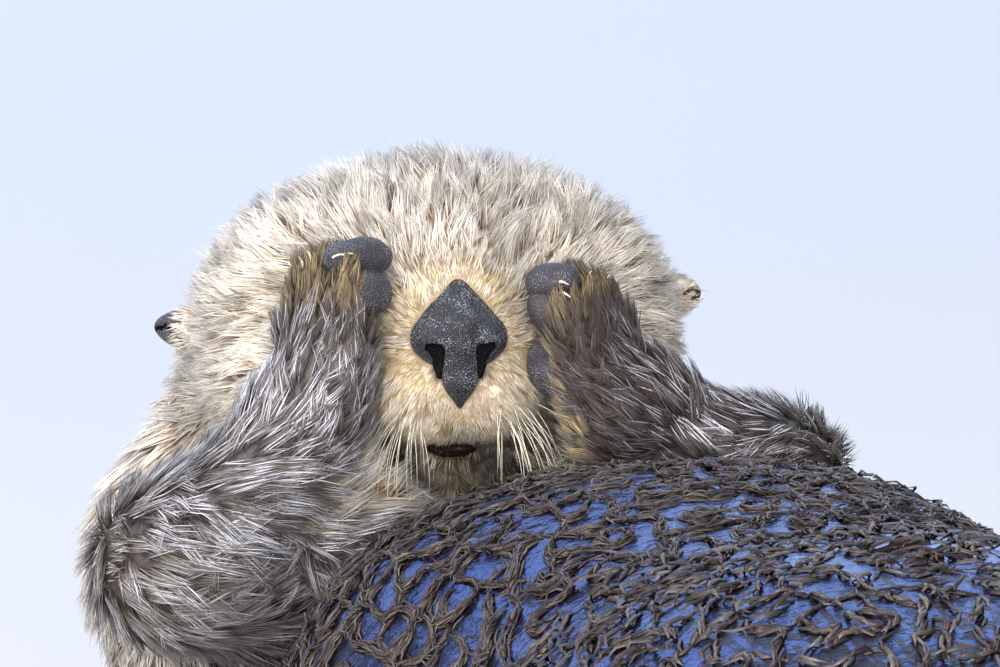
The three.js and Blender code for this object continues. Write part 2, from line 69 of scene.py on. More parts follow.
# Flesh is a field of signed distances, negative inside.
def ellipsoid(centre, radii):
    def field(p):
        q = p - centre
        scaled = size(q / radii)
        return scaled * (scaled - 1) / np.maximum(size(q / radii**2), 1e-9)
    return field


def barrel(centre, radii, power):
    def field(p):
        a = np.maximum(np.abs(p - centre) / radii, 1e-6)
        section = (a[:, 0]**power + a[:, 2]**power) ** (1 / power)
        scaled = np.hypot(section, a[:, 1])
        bend = section ** (2 - power)
        slope = np.stack((bend * a[:, 0] ** (power - 1), a[:, 1], bend * a[:, 2] ** (power - 1)), -1) / radii
        return (scaled - 1) * scaled / np.maximum(size(slope), 1e-9)
    return field


def limb(a, b, ra, rb):
    d = b - a

    def field(p):
        t = np.clip((p - a) @ d / (d @ d), 0, 1)
        return size(p - a - t[:, None] * d) - (ra + t * (rb - ra))
    return field


def blend(width, *fields):
    def field(p):
        found = fields[0](p)
        for other in fields[1:]:
            value = other(p)
            near = np.maximum(width - np.abs(found - value), 0) / width
            found = np.minimum(found, value) - near * near * width / 4
        return found
    return field


def within(axes, origin, field):
    return lambda p: field((p - origin) @ axes)


def pair(make):
    return [make(1), make(-1)]


def slopeOf(field, p, step=0.0006):
    value = field(p)
    slope = np.stack([field(p + step * np.eye(3)[axis]) - value for axis in range(3)], -1) / step
    return value, slope


# The head's own frame: muzzle along -Y, crown +Z. The eyes say where it is.
head = {"turn": math.radians(-12.5), "lift": math.radians(8), "eye": mm(33, -43, 6), "above": mm(0, 0, 255)}
headAxes = np.array(Matrix.Rotation(head["turn"], 3, "Z") @ Matrix.Rotation(-head["lift"], 3, "X"))
eyePlace = {side: (np.array(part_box("eye_" + side)[0]) + np.array(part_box("eye_" + side)[1])) / 2
            for side in ("left", "right")}
headPlace = (eyePlace["left"] + eyePlace["right"]) / 2 - headAxes @ (head["eye"] * (0, 1, 1))
bodyPlace = headPlace - head["above"]
sides = {"left": 1, "right": -1}


def fromHead(place):
    return headPlace + headAxes @ place


def fromBody(*values):
    return bodyPlace + mm(*values)


def inHead(field):
    return within(headAxes, headPlace, field)


def inBody(field):
    return within(np.eye(3), bodyPlace, field)


# Depth of the coat over the flesh: the skin lies this far inside the frame's solids.
coatDepth = {"nose": 0.0018, "head": 0.0085, "neck": 0.008, "trunk": 0.006, "tail": 0.003,
             "arm": 0.0055, "paw": 0.0025, "leg": 0.005, "flipper": 0.0015}
noseTip = mm(0, -76, -12)
muzzleMiddle = mm(1.6, 0, 0)  # the muzzle stands a little to the left of the skull's middle

muzzleShape = blend(
    0.014,
    limb(mm(0, -30, 12), mm(0, -50, 0), 0.025, 0.019),
    ellipsoid(muzzleMiddle + mm(0, -42, -20), mm(26, 31, 27)),
    *pair(lambda s: ellipsoid(muzzleMiddle + mm(s * 13, -58, -29), mm(15, 16, 13.5))),
    limb(mm(0, -20, -54), muzzleMiddle + mm(0, -39, -60), 0.017, 0.009),
)
skullShape = blend(
    0.020,
    ellipsoid(mm(1, 14, -2), mm(88, 68, 60)),
    ellipsoid(mm(0, 52, -24), mm(88, 62, 62)),
    *pair(lambda s: ellipsoid(mm(s * 42, -10, -24), mm(42, 40, 36))),
    limb(mm(0, -14, 20), mm(0, -50, 0), 0.032, 0.019),
)
faceShape = blend(0.020, skullShape, muzzleShape)
mouthSlot = ellipsoid(muzzleMiddle + mm(0, -58, -46.4), mm(10.5, 26, 3.9))


def headDepth(h):
    return coatDepth["nose"] + (coatDepth["head"] - coatDepth["nose"]) * ease(0.026, 0.085, size(h - noseTip))


def headSkin(h):
    return np.maximum(faceShape(h) + headDepth(h), -mouthSlot(h))


floorSink = 0.007


def onFloor(place, radii, power):
    return barrel(mm(place[0], place[1], radii[2]) - (0, 0, floorSink), mm(*radii), power)


trunkShape = blend(
    0.050,
    onFloor((10, 14), (108, 88, 94), 2),
    onFloor((36, -165), (146, 142, 118), 2.5),
    onFloor((54, -335), (148, 190, 119), 2.4),
    onFloor((42, -560), (114, 165, 94), 2.2),
    limb(mm(30, -690, 35), mm(18, -770, 23), 0.040, 0.030),
)
neckShape = ellipsoid(mm(-8, 50, 160), mm(107, 74, 78))
tailLimb = limb(mm(30, -690, 32), mm(-16, -1040, 11), 0.040, 0.019)


def tailShape(p):
    return tailLimb(p / (1, 1, 0.62))


# Forelimbs: joints in the head's frame, because the paws are laid over the eyes; pads in the paw's frame.
arms = {
    "right": {"shoulder": mm(-42, 18, -92), "elbow": mm(-98, -50, -85), "wrist": mm(-45, -66, -26),
              "tips": mm(-39, -61, 29), "back": mm(-850, -520, 80), "skin": mm(-30, -44, -78), "slack": 0.027,
              "finger": mm(0, -3, 51),
              "fingerPad": [((-9.5, -6, 48.5), (7.5, 10, 6.8)), ((-8, 3, 46.6), (7, 7, 5.8))],
              "palmPad": [((-14, -4.5, 35.5), (8.5, 9, 8.3)), ((0, -9, 35), (9, 8.5, 8.5))],
              "web": [((-8.5, -3.5, 42.2), (6, 7, 2.4))],
              "claws": [((-13.2, 6.8, 47.4), (-0.6, -0.5, 0.45)), ((-10.6, 9.0, 46.2), (-0.6, -0.3, 0.6)),
                        ((3, 8, 45), (0, 0.2, 1)), ((9, 7, 43), (0, 0.2, 1)), ((15, 6, 41), (0.1, 0.2, 1))]},
    "left": {"shoulder": mm(62, 8, -82), "elbow": mm(112, -52, -62), "wrist": mm(54, -67, -26),
             "tips": mm(43, -64, 8), "back": mm(850, -520, 80), "skin": mm(56, -47, -64), "slack": 0.022,
             "finger": mm(0, -3, 42),
             "fingerPad": [((12.5, -3, 42), (7, 7.5, 6.2)), ((11, 2.6, 40.6), (6, 6.5, 5.4))],
             "palmPad": [((9, -14, 13), (8, 8, 10.5)), ((0, -13, 12), (8, 8, 12))],
             "web": [((14.5, -6, 33), (6, 6, 8)), ((8, -7, 28), (8, 6, 8))],
             "claws": [((16.6, 3.2, 40.4), (0.05, 1, -0.15)), ((17.4, 3.2, 36.6), (0.05, 1, -0.35)),
                       ((2, 7, 37), (0, 0.3, 1)), ((-5, 7, 36), (0, 0.3, 1)),
                       ((-12, 6, 34), (-0.1, 0.3, 1))]},
}
armRadius = {"shoulder": 0.038, "elbow": 0.024, "wrist": 0.018}


def armShape(arm):
    wrist, elbow = arm["wrist"], arm["elbow"]
    fore = blend(
        0.018,
        limb(elbow, wrist, armRadius["elbow"], armRadius["wrist"]),
        limb(arm["skin"], elbow + 0.75 * (wrist - elbow), arm["slack"], 0.016),
    )
    return blend(0.026, limb(arm["shoulder"], elbow, armRadius["shoulder"], armRadius["elbow"]), fore)


for arm in arms.values():
    ahead = unit(arm["tips"] - arm["wrist"])
    across = unit(np.cross(arm["back"], ahead))
    # The paw's axes: across the palm, out of its back, ahead.
    arm["axes"] = np.stack((across, np.cross(ahead, across), ahead), -1)


def inPaw(side, field):
    return inHead(within(arms[side]["axes"], arms[side]["wrist"], field))


def pawShape(arm):
    knuckle = arm["finger"] + mm(0, 5, -8)
    return blend(
        0.006,
        ellipsoid(mm(0, 0, 16), mm(23, 12.5, 27)),
        limb(mm(0, 0, -12), mm(0, 0, 14), 0.017, 0.013),
        *[limb(mm(n * 7.0, 3.5, 18), knuckle + mm(n * 6.8, 0, -2 * abs(n)), 0.0075, 0.0068)
          for n in (-2, -1, 0, 1, 2)],
    )


def lobes(arm, name):
    return blend(0.0030, *[ellipsoid(mm(*place), mm(*radii)) for place, radii in arm[name]])


# Hind limbs, in the body's frame, turned out on the floor.
legs = {"hip": (58, -570, 92), "knee": (124, -630, 62), "ankle": (118, -716, 33), "heel": (118, -728, 24)}
flipper = {"splay": math.radians(20), "lift": math.radians(9), "toes": (122, 140, 153, 166, 178),
           "fan": math.radians(9.5), "web": 0.0058}
rumpMiddle = 30


def legPoint(name, s):
    x, y, z = legs[name]
    return mm(s * x + rumpMiddle, y, z)


def flipperAxes(s):
    turn = Matrix.Rotation(s * flipper["splay"], 3, "Z")
    ahead = np.array(turn @ Matrix.Rotation(-flipper["lift"], 3, "X") @ Vector((0, -1, 0)))
    across = np.array(turn @ Vector((s, 0, 0)))
    return np.stack((across * s, np.cross(ahead, across) * s, ahead), -1)


def toeWay(n, s):
    angle = (n - 2) * flipper["fan"]
    return np.array((s * math.sin(angle), 0, math.cos(angle)))


def flipperShape(s):
    toes = [limb(mm(s * (n - 2) * 10, 0, 8), toeWay(n, s) * reach / 1000, 0.013, 0.009)
            for n, reach in enumerate(flipper["toes"])]
    webs = [limb(mm(s * (n - 1.5) * 9, 0, 20), toeWay(n + 0.5, s) * (a + b - 40) / 2000, 0.008,
                 flipper["web"])
            for n, (a, b) in enumerate(zip(flipper["toes"], flipper["toes"][1:]))]
    return within(flipperAxes(s), legPoint("ankle", s), blend(0.007, *toes, *webs))


def legShape(s):
    return blend(
        0.024,
        limb(legPoint("hip", s), legPoint("knee", s), 0.066, 0.045),
        limb(legPoint("knee", s), legPoint("ankle", s), 0.043, 0.026),
        ellipsoid(legPoint("heel", s), mm(26, 26, 30)),
    )


# One field for each part of the skin, and all of them together.
def deeper(field, depth):
    return lambda p: field(p) + depth


partField = {
    "muzzle": inHead(lambda h: muzzleShape(h) + headDepth(h)),
    "head": inHead(lambda h: skullShape(h) + headDepth(h)),
    "neck": deeper(inBody(neckShape), coatDepth["neck"]),
    "trunk": deeper(inBody(trunkShape), coatDepth["trunk"]),
    "tail": deeper(inBody(tailShape), coatDepth["tail"]),
}
for side, s in sides.items():
    partField["arm_" + side] = deeper(inHead(armShape(arms[side])), coatDepth["arm"])
    partField["paw_" + side] = deeper(inPaw(side, pawShape(arms[side])), coatDepth["paw"])
    partField["leg_" + side] = deeper(inBody(legShape(s)), coatDepth["leg"])
    partField["flipper_" + side] = deeper(inBody(flipperShape(s)), coatDepth["flipper"])
armSkin = [blend(0.012, partField["arm_" + side], partField["paw_" + side]) for side in sides]
legSkin = [blend(0.016, partField["leg_" + side], partField["flipper_" + side]) for side in sides]
bodySkin = blend(0.026, blend(0.030, blend(0.040, partField["trunk"], partField["neck"]), partField["tail"]),
                 inHead(headSkin))


# Lids are a ball round each eye with a slit in front, over the hollow that the eyeball fills.
lid = {"ball": 0.0102, "hollow": 0.0082, "slitHigh": 0.0034, "slitWide": 0.009}


def eyeLids(p):
    found = []
    for place in eyePlace.values():
        q = (p - place) @ headAxes
        slit = np.abs(q[:, 2]) - lid["slitHigh"] * (1 - (q[:, 0] / lid["slitWide"]) ** 2)
        lids = np.maximum(size(q) - lid["ball"], -np.maximum(slit, q[:, 1]))
        found.append((lids, size(q) - lid["hollow"]))
    return [np.minimum(*both) for both in zip(*found)]


floorLevel = 0.0006


def skinField(p):
    lids, hollow = eyeLids(p)
    body = np.maximum(np.minimum(bodySkin(p), lids), -hollow)
    withArms = blend(0.004, lambda p: body, *armSkin)(p)
    withLegs = blend(0.012, lambda p: withArms, *legSkin)(p)
    return np.maximum(withLegs, floorLevel - p[:, 2])


# A closed mesh of a field: a point in each cell that the surface crosses, and a face round each edge that it
# crosses. The field is worked out in slabs of the grid, so that memory stays small.
slabPoints = 150000
cellCorners = [(a, b, c) for a in (0, 1) for b in (0, 1) for c in (0, 1)]


def atCorner(array, corner):
    return array[tuple(slice(o, o + n - 1) for o, n in zip(corner, array.shape))]


def valuesOn(field, lines):
    shape = [len(line) for line in lines]
    values = np.empty(shape, np.float32)
    slab = max(1, slabPoints // (shape[1] * shape[2]))
    for i in range(0, shape[0], slab):
        grid = np.stack(np.meshgrid(lines[0][i:i + slab], lines[1], lines[2], indexing="ij"), -1)
        values[i:i + slab] = field(grid.reshape(-1, 3)).reshape(grid.shape[:3])
    return values


# A cell's point starts in the middle of the crossings of its edges, and is then drawn onto the surface.
def netPoints(field, lines, values, mixed):
    cornerValue = {c: atCorner(values, c)[mixed] for c in cellCorners}
    total, crossings = np.zeros((mixed.sum(), 3)), np.zeros(mixed.sum())
    for a in cellCorners:
        for axis in range(3):
            if a[axis]:
                continue
            b = tuple(1 if n == axis else a[n] for n in range(3))
            crossed = (cornerValue[a] < 0) != (cornerValue[b] < 0)
            t = np.where(crossed, cornerValue[a] / np.where(crossed, cornerValue[a] - cornerValue[b], 1), 0)
            place = np.array(a, float) + t[:, None] * np.eye(3)[axis]
            total += place * crossed[:, None]
            crossings += crossed
    cell = np.stack(np.nonzero(mixed), -1)
    low = np.stack([lines[n][cell[:, n]] for n in range(3)], -1)
    high = np.stack([lines[n][cell[:, n] + 1] for n in range(3)], -1)
    points = low + total / crossings[:, None] * (high - low)
    for _ in range(2):
        value, slope = slopeOf(field, points)
        pull = value[:, None] * slope / np.maximum(dot(slope, slope), 0.1)
        points = np.clip(points - pull, low, high)
    return points


# The four cells round an edge are the corners of its face, in the order that makes the face look out.
def netFaces(inside, number):
    faces = []
    for axis in range(3):
        u, v = (axis + 1) % 3, (axis + 2) % 3
        near, far = [slice(None)] * 3, [slice(None)] * 3
        near[axis], far[axis] = slice(0, -1), slice(1, None)
        near, far = inside[tuple(near)], inside[tuple(far)]
        edge = np.stack(np.nonzero(near != far), -1)
        edge = edge[(edge[:, u] > 0) & (edge[:, v] > 0)
                    & (edge[:, u] < number.shape[u]) & (edge[:, v] < number.shape[v])]
        ring = []
        for du, dv in ((-1, -1), (0, -1), (0, 0), (-1, 0)):
            index = edge.copy()
            index[:, u] += du
            index[:, v] += dv
            ring.append(number[tuple(index.T)])
        quads = np.stack(ring, -1)
        outward = near[tuple(edge.T)]
        faces.append(np.where(outward[:, None], quads, quads[:, ::-1]))
    return np.concatenate(faces)


def netOf(field, lines):
    values = valuesOn(field, lines)
    inside = values < 0
    count = sum(atCorner(inside, c).astype(np.int8) for c in cellCorners)
    mixed = (count > 0) & (count < 8)
    number = np.full(mixed.shape, -1, np.int32)
    number[mixed] = np.arange(mixed.sum())
    return netPoints(field, lines, values, mixed), netFaces(inside, number)


# Grid lines along one axis: each stretch (end, spacing) goes on from the last.
def ruled(start, *stretches):
    lines = [np.array([start])]
    for end, spacing in stretches:
        count = max(1, round((end - lines[-1][-1]) / spacing))
        lines.append(np.linspace(lines[-1][-1], end, count + 1)[1:])
    return np.concatenate(lines)


def around(centre, reach, spacing):
    return [ruled(c - r, (c + r, spacing)) for c, r in zip(centre, np.broadcast_to(reach, 3))]


def meshPiece(name, points, faces, smooth=True):
    mesh = bpy.data.meshes.new(name)
    mesh.vertices.add(len(points))
    mesh.vertices.foreach_set("co", np.ascontiguousarray(points, np.float32).ravel())
    mesh.loops.add(faces.size)
    mesh.loops.foreach_set("vertex_index", np.ascontiguousarray(faces, np.int32).ravel())
    mesh.polygons.add(len(faces))
    mesh.polygons.foreach_set("loop_start", np.arange(len(faces), dtype=np.int32) * faces.shape[1])
    mesh.update(calc_edges=True)
    if smooth:
        mesh.shade_smooth()
    piece = bpy.data.objects.new(name, mesh)
    bpy.context.scene.collection.objects.link(piece)
    return piece


def paintPoints(mesh, name, colours):
    mesh.attributes.new(name, "FLOAT_COLOR", "POINT").data.foreach_set(
        "color", np.ascontiguousarray(colours, np.float32).ravel())


def settle(piece, material, slot, *replaced):
    piece.data.materials.append(material)
    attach(piece, "root")
    if replaced:
        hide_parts(*replaced)


def solidPiece(name, field, centre, reach, spacing, finish, slot, *replaced):
    points, faces = netOf(field, around(centre, reach, spacing))
    piece = meshPiece(name, points, faces)
    settle(piece, finish, slot, *replaced)
    return piece, points, faces


# More finishes on one piece, chosen face by face: 0 is the piece's own.
def addFinishes(piece, finishOf, *finishes):
    for finish in finishes:
        piece.data.materials.append(finish)
    piece.data.polygons.foreach_set("material_index", finishOf.astype(np.int32))


# Node helpers. A group is built once, with named inputs and outputs.
def addNode(tree, kind, settings=None, **inputs):
    node = tree.nodes.new(kind)
    for key, value in (settings or {}).items():
        setattr(node, key, value)
    for key, value in inputs.items():
        socket = node.inputs[int(key[1:])] if key[0] == "n" and key[1:].isdigit() else node.inputs[key]
        if isinstance(value, bpy.types.NodeSocket):
            tree.links.new(value, socket)
        else:
            socket.default_value = value
    return node


def mixColour(tree, factor, a, b, mode="MIX"):
    node = addNode(tree, "ShaderNodeMix", {"data_type": "RGBA", "blend_type": mode}, n0=factor, n6=a, n7=b)
    return node.outputs[2]


def calculate(tree, operation, *values):
    node = addNode(tree, "ShaderNodeMath", {"operation": operation, "use_clamp": False},
                   **{"n%d" % n: value for n, value in enumerate(values)})
    return node.outputs[0]


def remap(tree, value, low, high, toLow=0.0, toHigh=1.0):
    node = addNode(tree, "ShaderNodeMapRange", {"interpolation_type": "SMOOTHSTEP"},
                   n0=value, n1=low, n2=high, n3=toLow, n4=toHigh)
    return node.outputs[0]


def times(tree, a, b):
    return calculate(tree, "MULTIPLY", a, b)


def objectPlace(tree):
    return addNode(tree, "ShaderNodeTexCoord").outputs["Object"]


def noise(tree, place, scale, detail):
    return addNode(tree, "ShaderNodeTexNoise", {}, Vector=place, Scale=scale, Detail=detail).outputs[0]


def raised(tree, strength, depth, height, **more):
    node = addNode(tree, "ShaderNodeBump", {}, Strength=strength, Distance=depth, Height=height, **more)
    return node.outputs[0]


def feed(tree, shader, **sockets):
    for key, value in sockets.items():
        tree.links.new(value, shader.inputs[key.replace("_", " ")])


def newGroup(name, inputs, outputs):
    tree = bpy.data.node_groups.new(name, "ShaderNodeTree")
    for label, kind, value in inputs:
        socket = tree.interface.new_socket(name=label, in_out="INPUT", socket_type="NodeSocket" + kind)
        socket.default_value = value
    for label, kind in outputs:
        tree.interface.new_socket(name=label, in_out="OUTPUT", socket_type="NodeSocket" + kind)
    return tree, tree.nodes.new("NodeGroupInput").outputs, tree.nodes.new("NodeGroupOutput").inputs


def newMaterial(name, **settings):
    material = bpy.data.materials.new(name)
    material.use_nodes = True
    tree = material.node_tree
    shader = tree.nodes["Principled BSDF"]
    for key, value in settings.items():
        shader.inputs[key.replace("_", " ")].default_value = value
    return material, tree, shader


coatColours = {
    "bodyRoot": (0.010, 0.006, 0.005, 1), "bodyTip": (0.047, 0.030, 0.029, 1),
    "headRoot": (0.36, 0.240, 0.150, 1), "headTip": (0.97, 0.89, 0.79, 1),
    "gold": (0.74, 0.56, 0.25, 1), "goldRoot": (0.34, 0.225, 0.090, 1),
    "silver": (0.78, 0.78, 0.88, 1), "greyRoot": (0.022, 0.018, 0.022, 1),
}


# Fur colour from the markings: red is how pale, green how golden, blue how silvered, alpha how wet.
def coatGroup():
    tree, given, result = newGroup(
        "coatColour",
        [("Marking", "Color", (0, 0, 0, 1)), ("Wet", "Float", 0.0), ("Along", "Float", 0.5),
         ("Chance", "Float", 0.5)],
        [("Colour", "Color"), ("Roughness", "Float")])
    split = addNode(tree, "ShaderNodeSeparateColor", n0=given["Marking"]).outputs
    place = objectPlace(tree)
    fine, broad = noise(tree, place, 420.0, 3.0), noise(tree, place, 48.0, 2.0)
    tip = remap(tree, given["Along"], 0.12, 0.86)
    root = mixColour(tree, split[0], coatColours["bodyRoot"], coatColours["headRoot"])
    root = mixColour(tree, times(tree, split[2], 0.8), root, coatColours["greyRoot"])
    root = mixColour(tree, times(tree, split[1], split[0]), root, coatColours["goldRoot"])
    end = mixColour(tree, split[0], coatColours["bodyTip"], coatColours["headTip"])
    goldness = times(tree, split[1], remap(tree, given["Chance"], 0.15, 0.75, 0.35, 1.15))
    end = mixColour(tree, goldness, end, coatColours["gold"])
    silvered = times(tree, split[2], remap(tree, given["Chance"], 0.15, 0.6, 0.5, 1.0))
    end = mixColour(tree, silvered, end, coatColours["silver"])
    colour = mixColour(tree, tip, root, end)
    shade = remap(tree, given["Chance"], 0.0, 1.0, 0.70, 1.14)
    shade = times(tree, shade, remap(tree, fine, 0.3, 0.7, 0.86, 1.1))
    shade = times(tree, shade, remap(tree, broad, 0.35, 0.65, 0.84, 1.06))
    grey = addNode(tree, "ShaderNodeCombineColor", n0=shade, n1=shade, n2=shade).outputs[0]
    tree.links.new(mixColour(tree, 1.0, colour, grey, "MULTIPLY"), result["Colour"])
    rough = remap(tree, given["Wet"], 0.0, 1.0, 0.60, 0.34)
    rough = calculate(tree, "ADD", rough, remap(tree, fine, 0.3, 0.7, -0.05, 0.05))
    tree.links.new(rough, result["Roughness"])
    return tree


# Bare skin: a grain of fine raised beads over a dark ground, with the bead colour painted on the bead tops in
# scattered specks as highlight.
def leatherGroup():
    tree, given, result = newGroup(
        "leatherGrain",
        [("Ground", "Color", (0.03, 0.03, 0.035, 1)), ("Bead", "Color", (0.1, 0.1, 0.11, 1)),
         ("Grain", "Float", 900.0), ("Light", "Float", 0.5)],
        [("Colour", "Color"), ("Height", "Float"), ("Roughness", "Float")])
    place = objectPlace(tree)
    cells = addNode(tree, "ShaderNodeTexVoronoi", {"feature": "F1"}, Vector=place, Scale=given["Grain"])
    bead = remap(tree, cells.outputs["Distance"], 0.10, 0.70, 1.0, 0.0)
    broad, fine = noise(tree, place, 160.0, 3.0), noise(tree, place, 2300.0, 2.0)
    # Painted highlights: specks of the bead colour on the raised beads stand for light caught on their tops.
    paintedGlint = times(tree, bead, remap(tree, broad, 0.38, 0.62, 0.35, 1.0))
    paintedGlint = times(tree, paintedGlint, remap(tree, fine, 0.35, 0.65, 0.65, 1.0))
    paintedGlint = times(tree, calculate(tree, "POWER", paintedGlint, 1.4), given["Light"])
    tree.links.new(mixColour(tree, paintedGlint, given["Ground"], given["Bead"]), result["Colour"])
    tree.links.new(bead, result["Height"])
    tree.links.new(remap(tree, bead, 0.0, 1.0, 0.60, 0.40), result["Roughness"])
    return tree


coatNodes, leatherNodes = coatGroup(), leatherGroup()


def furMaterial(name, **settings):
    material, tree, shader = newMaterial(name, **settings)
    marking = addNode(tree, "ShaderNodeAttribute", {"attribute_name": "marking"})
    group = addNode(tree, "ShaderNodeGroup", {"node_tree": coatNodes},
                    Marking=marking.outputs["Color"], Wet=marking.outputs["Alpha"])
    strand = addNode(tree, "ShaderNodeUVMap", {"uv_map": "strand"}).outputs[0]
    split = addNode(tree, "ShaderNodeSeparateXYZ", n0=strand).outputs
    tree.links.new(split[0], group.inputs["Chance"])
    tree.links.new(split[1], group.inputs["Along"])
    feed(tree, shader, Base_Color=group.outputs["Colour"], Roughness=group.outputs["Roughness"])
    return material


# The skin under dry fur is the colour of the roots, and under wet fur it is dark and shines.
def skinMaterial(name, along, rough, **settings):
    material, tree, shader = newMaterial(name, **settings)
    marking = addNode(tree, "ShaderNodeAttribute", {"attribute_name": "marking"})
    group = addNode(tree, "ShaderNodeGroup", {"node_tree": coatNodes}, Marking=marking.outputs["Color"],
                    Wet=marking.outputs["Alpha"], Along=along)
    place = objectPlace(tree)
    strands, ripples = noise(tree, place, 900.0, 3.0), noise(tree, place, 170.0, 2.0)
    bump = raised(tree, 0.35, 0.0006, strands, Normal=raised(tree, 0.8, 0.0020, ripples))
    feed(tree, shader, Base_Color=group.outputs["Colour"], Normal=bump,
         Roughness=remap(tree, strands, 0.3, 0.7, *rough))
    return material


drySkin = skinMaterial("drySkin", 0.34, (0.5, 0.7), Specular_IOR_Level=0.3)
# The blue specular tint of wet skin is a painted reflection of the sky: strong on the chest, fainter
# elsewhere.
wetSkinStrongSkyShine = skinMaterial("wetSkinStrongSkyShine", 0.10, (0.20, 0.34), IOR=2.4, Specular_Tint=(0.20, 0.38, 1.0, 1))
wetSkinFaintSkyShine = skinMaterial("wetSkinFaintSkyShine", 0.22, (0.30, 0.48), IOR=1.5, Specular_Tint=(0.50, 0.62, 1.0, 1))
dryFur = furMaterial("dryFur", Specular_IOR_Level=0.22, Sheen_Weight=0.05, Sheen_Roughness=0.5)
wetFur = furMaterial("wetFur", Specular_IOR_Level=0.32)

# How the coat grows on each part: spacing, length and width of its tufts in millimetres, how many degrees
# they stand up at the root and at the tip, how strongly they clump and how wide a clump is, how wide a ridge
# of wet hair is, how much they sway, the share of long guard hairs, and the markings.
columns = ("spacing", "length", "width", "rise", "tipRise", "clump", "clumpWidth", "ridge", "sway", "guard",
           "pale", "gold", "silver", "wet")
coatStyle = {
    "muzzle":    (0.58, 5.8, 0.34, 32, 14, 0.40, 3.0, 0.0, 0.22, 0.28, 1.00, 0.22, 0.00, 0.00),
    "head":      (0.92, 13.0, 0.48, 48, 26, 0.74, 4.0, 0.0, 0.50, 0.25, 0.88, 0.08, 0.00, 0.05),
    "neck":      (1.80, 19.0, 0.95, 30, 8, 0.78, 8.0, 0.0, 0.35, 0.15, 0.98, 0.00, 0.08, 0.25),
    "trunk":     (2.12, 13.0, 1.00, 36, 4, 0.00, 9.0, 8.4, 0.35, 0.00, 0.014, 0.00, 0.00, 1.00),
    "tail":      (3.40, 13.0, 1.60, 20, 2, 0.00, 9.0, 8.0, 0.25, 0.00, 0.04, 0.04, 0.00, 0.85),
    "arm_right": (0.98, 16.0, 0.50, 32, 10, 0.76, 5.0, 0.0, 0.50, 0.40, 0.10, 0.00, 0.50, 0.25),
    "arm_left":  (0.98, 15.5, 0.50, 32, 10, 0.76, 5.0, 0.0, 0.50, 0.26, 0.01, 0.00, 0.48, 0.30),
    "paw":       (0.80, 9.0, 0.50, 38, 14, 0.88, 3.8, 0.0, 0.35, 0.14, 0.01, 0.10, 0.10, 0.15),
    "leg":       (3.60, 14.0, 1.60, 26, 4, 0.00, 11.0, 8.0, 0.35, 0.00, 0.08, 0.00, 0.00, 0.90),
    "flipper":   (2.70, 6.0, 1.50, 9, 3, 0.20, 6.0, 0.0, 0.15, 0.00, 0.02, 0.00, 0.05, 0.70),
    "ear":       (0.80, 5.5, 0.38, 24, 8, 0.35, 3.0, 0.0, 0.25, 0.20, 0.95, 0.04, 0.10, 0.00),
}
column = {name: n for n, name in enumerate(columns)}
partNames = list(partField)


def styleOf(part):
    return coatStyle.get(part) or coatStyle[part.split("_")[0]]


styleTable = np.array([styleOf(name) for name in partNames])

skinLines = [
    ruled(-0.245, (-0.165, 0.006), (-0.145, 0.004), (0.085, 0.0026), (0.115, 0.004), (0.245, 0.006)),
    ruled(-0.600, (-0.405, 0.005), (0.300, 0.0065), (0.360, 0.0045), (0.495, 0.0026), (0.600, 0.0045)),
    ruled(-0.004, (0.060, 0.0045), (0.165, 0.0052), (0.320, 0.0026)),
]
skinPoints, skinFaces = netOf(skinField, skinLines)
skinNormals = unit(slopeOf(skinField, skinPoints)[1])
print("otter: skin", len(skinPoints), "points", len(skinFaces), "faces")

# Which part each point of the skin belongs to, as weights that run smoothly into each other.
partDistance = np.stack([field(skinPoints) for field in partField.values()], -1)
partWeight = np.exp((partDistance.min(-1, keepdims=True) - partDistance) / 0.005)
partWeight /= partWeight.sum(-1, keepdims=True)
skinPart = partDistance.argmin(-1)


# Smooth noise from -1 to 1 over lumps of about the given width, from a few waves laid across each other.
def rolling(p, width, seed, count=7):
    waves = np.random.default_rng(seed)
    total = np.zeros(len(p))
    for _ in range(count):
        way = unit(waves.normal(size=3)) * waves.uniform(0.7, 1.5) * math.pi / width
        total += np.sin(p @ way + waves.uniform(0, 2 * math.pi))
    return np.clip(total / math.sqrt(count / 2) / 1.6, -1, 1)


# The nose pad: a rounded diamond, comma-shaped nostrils and a stem down to a point at the lip.
noseShape = blend(
    0.003,
    *pair(lambda s: limb(muzzleMiddle + mm(s * 0.8, -65.5, 8.5), muzzleMiddle + mm(s * 9.6, -73.5, -6),
                         0.0046, 0.0067)),
    limb(muzzleMiddle + mm(0, -67, 5), muzzleMiddle + mm(0, -74.5, -6), 0.006, 0.009),
    *pair(lambda s: ellipsoid(muzzleMiddle + mm(s * 10.4, -73, -8.5), mm(6, 9, 6))),
    *pair(lambda s: ellipsoid(muzzleMiddle + mm(s * 7.8, -72.5, -13.0), mm(4.4, 7, 3.8))),
    limb(muzzleMiddle + mm(0, -76, -11), muzzleMiddle + mm(0, -75, -22), 0.0068, 0.0056),
    limb(muzzleMiddle + mm(0, -75, -22), muzzleMiddle + mm(0, -71.5, -31), 0.0056, 0.0016),
)
nostrilComma = blend(
    0.0008,
    *pair(lambda s: limb(mm(s * 11.2, 0, -10.2), mm(s * 8.2, 0, -11.6), 0.0014, 0.0027)),
    *pair(lambda s: limb(mm(s * 7.8, 0, -12.4), mm(s * 6.9, 0, -20.5), 0.0025, 0.0007)),
)
noseGroove = limb(muzzleMiddle + mm(0, -84.6, -3), muzzleMiddle + mm(0, -83.2, -24), 0.0007, 0.0011)


def nostrils(h):
    q = h - muzzleMiddle
    return np.maximum(nostrilComma(q * (1, 0, 1)), q[:, 1] + 0.0725)


def noseField(h):
    return np.maximum(np.maximum(noseShape(h), -nostrils(h)), -noseGroove(h))


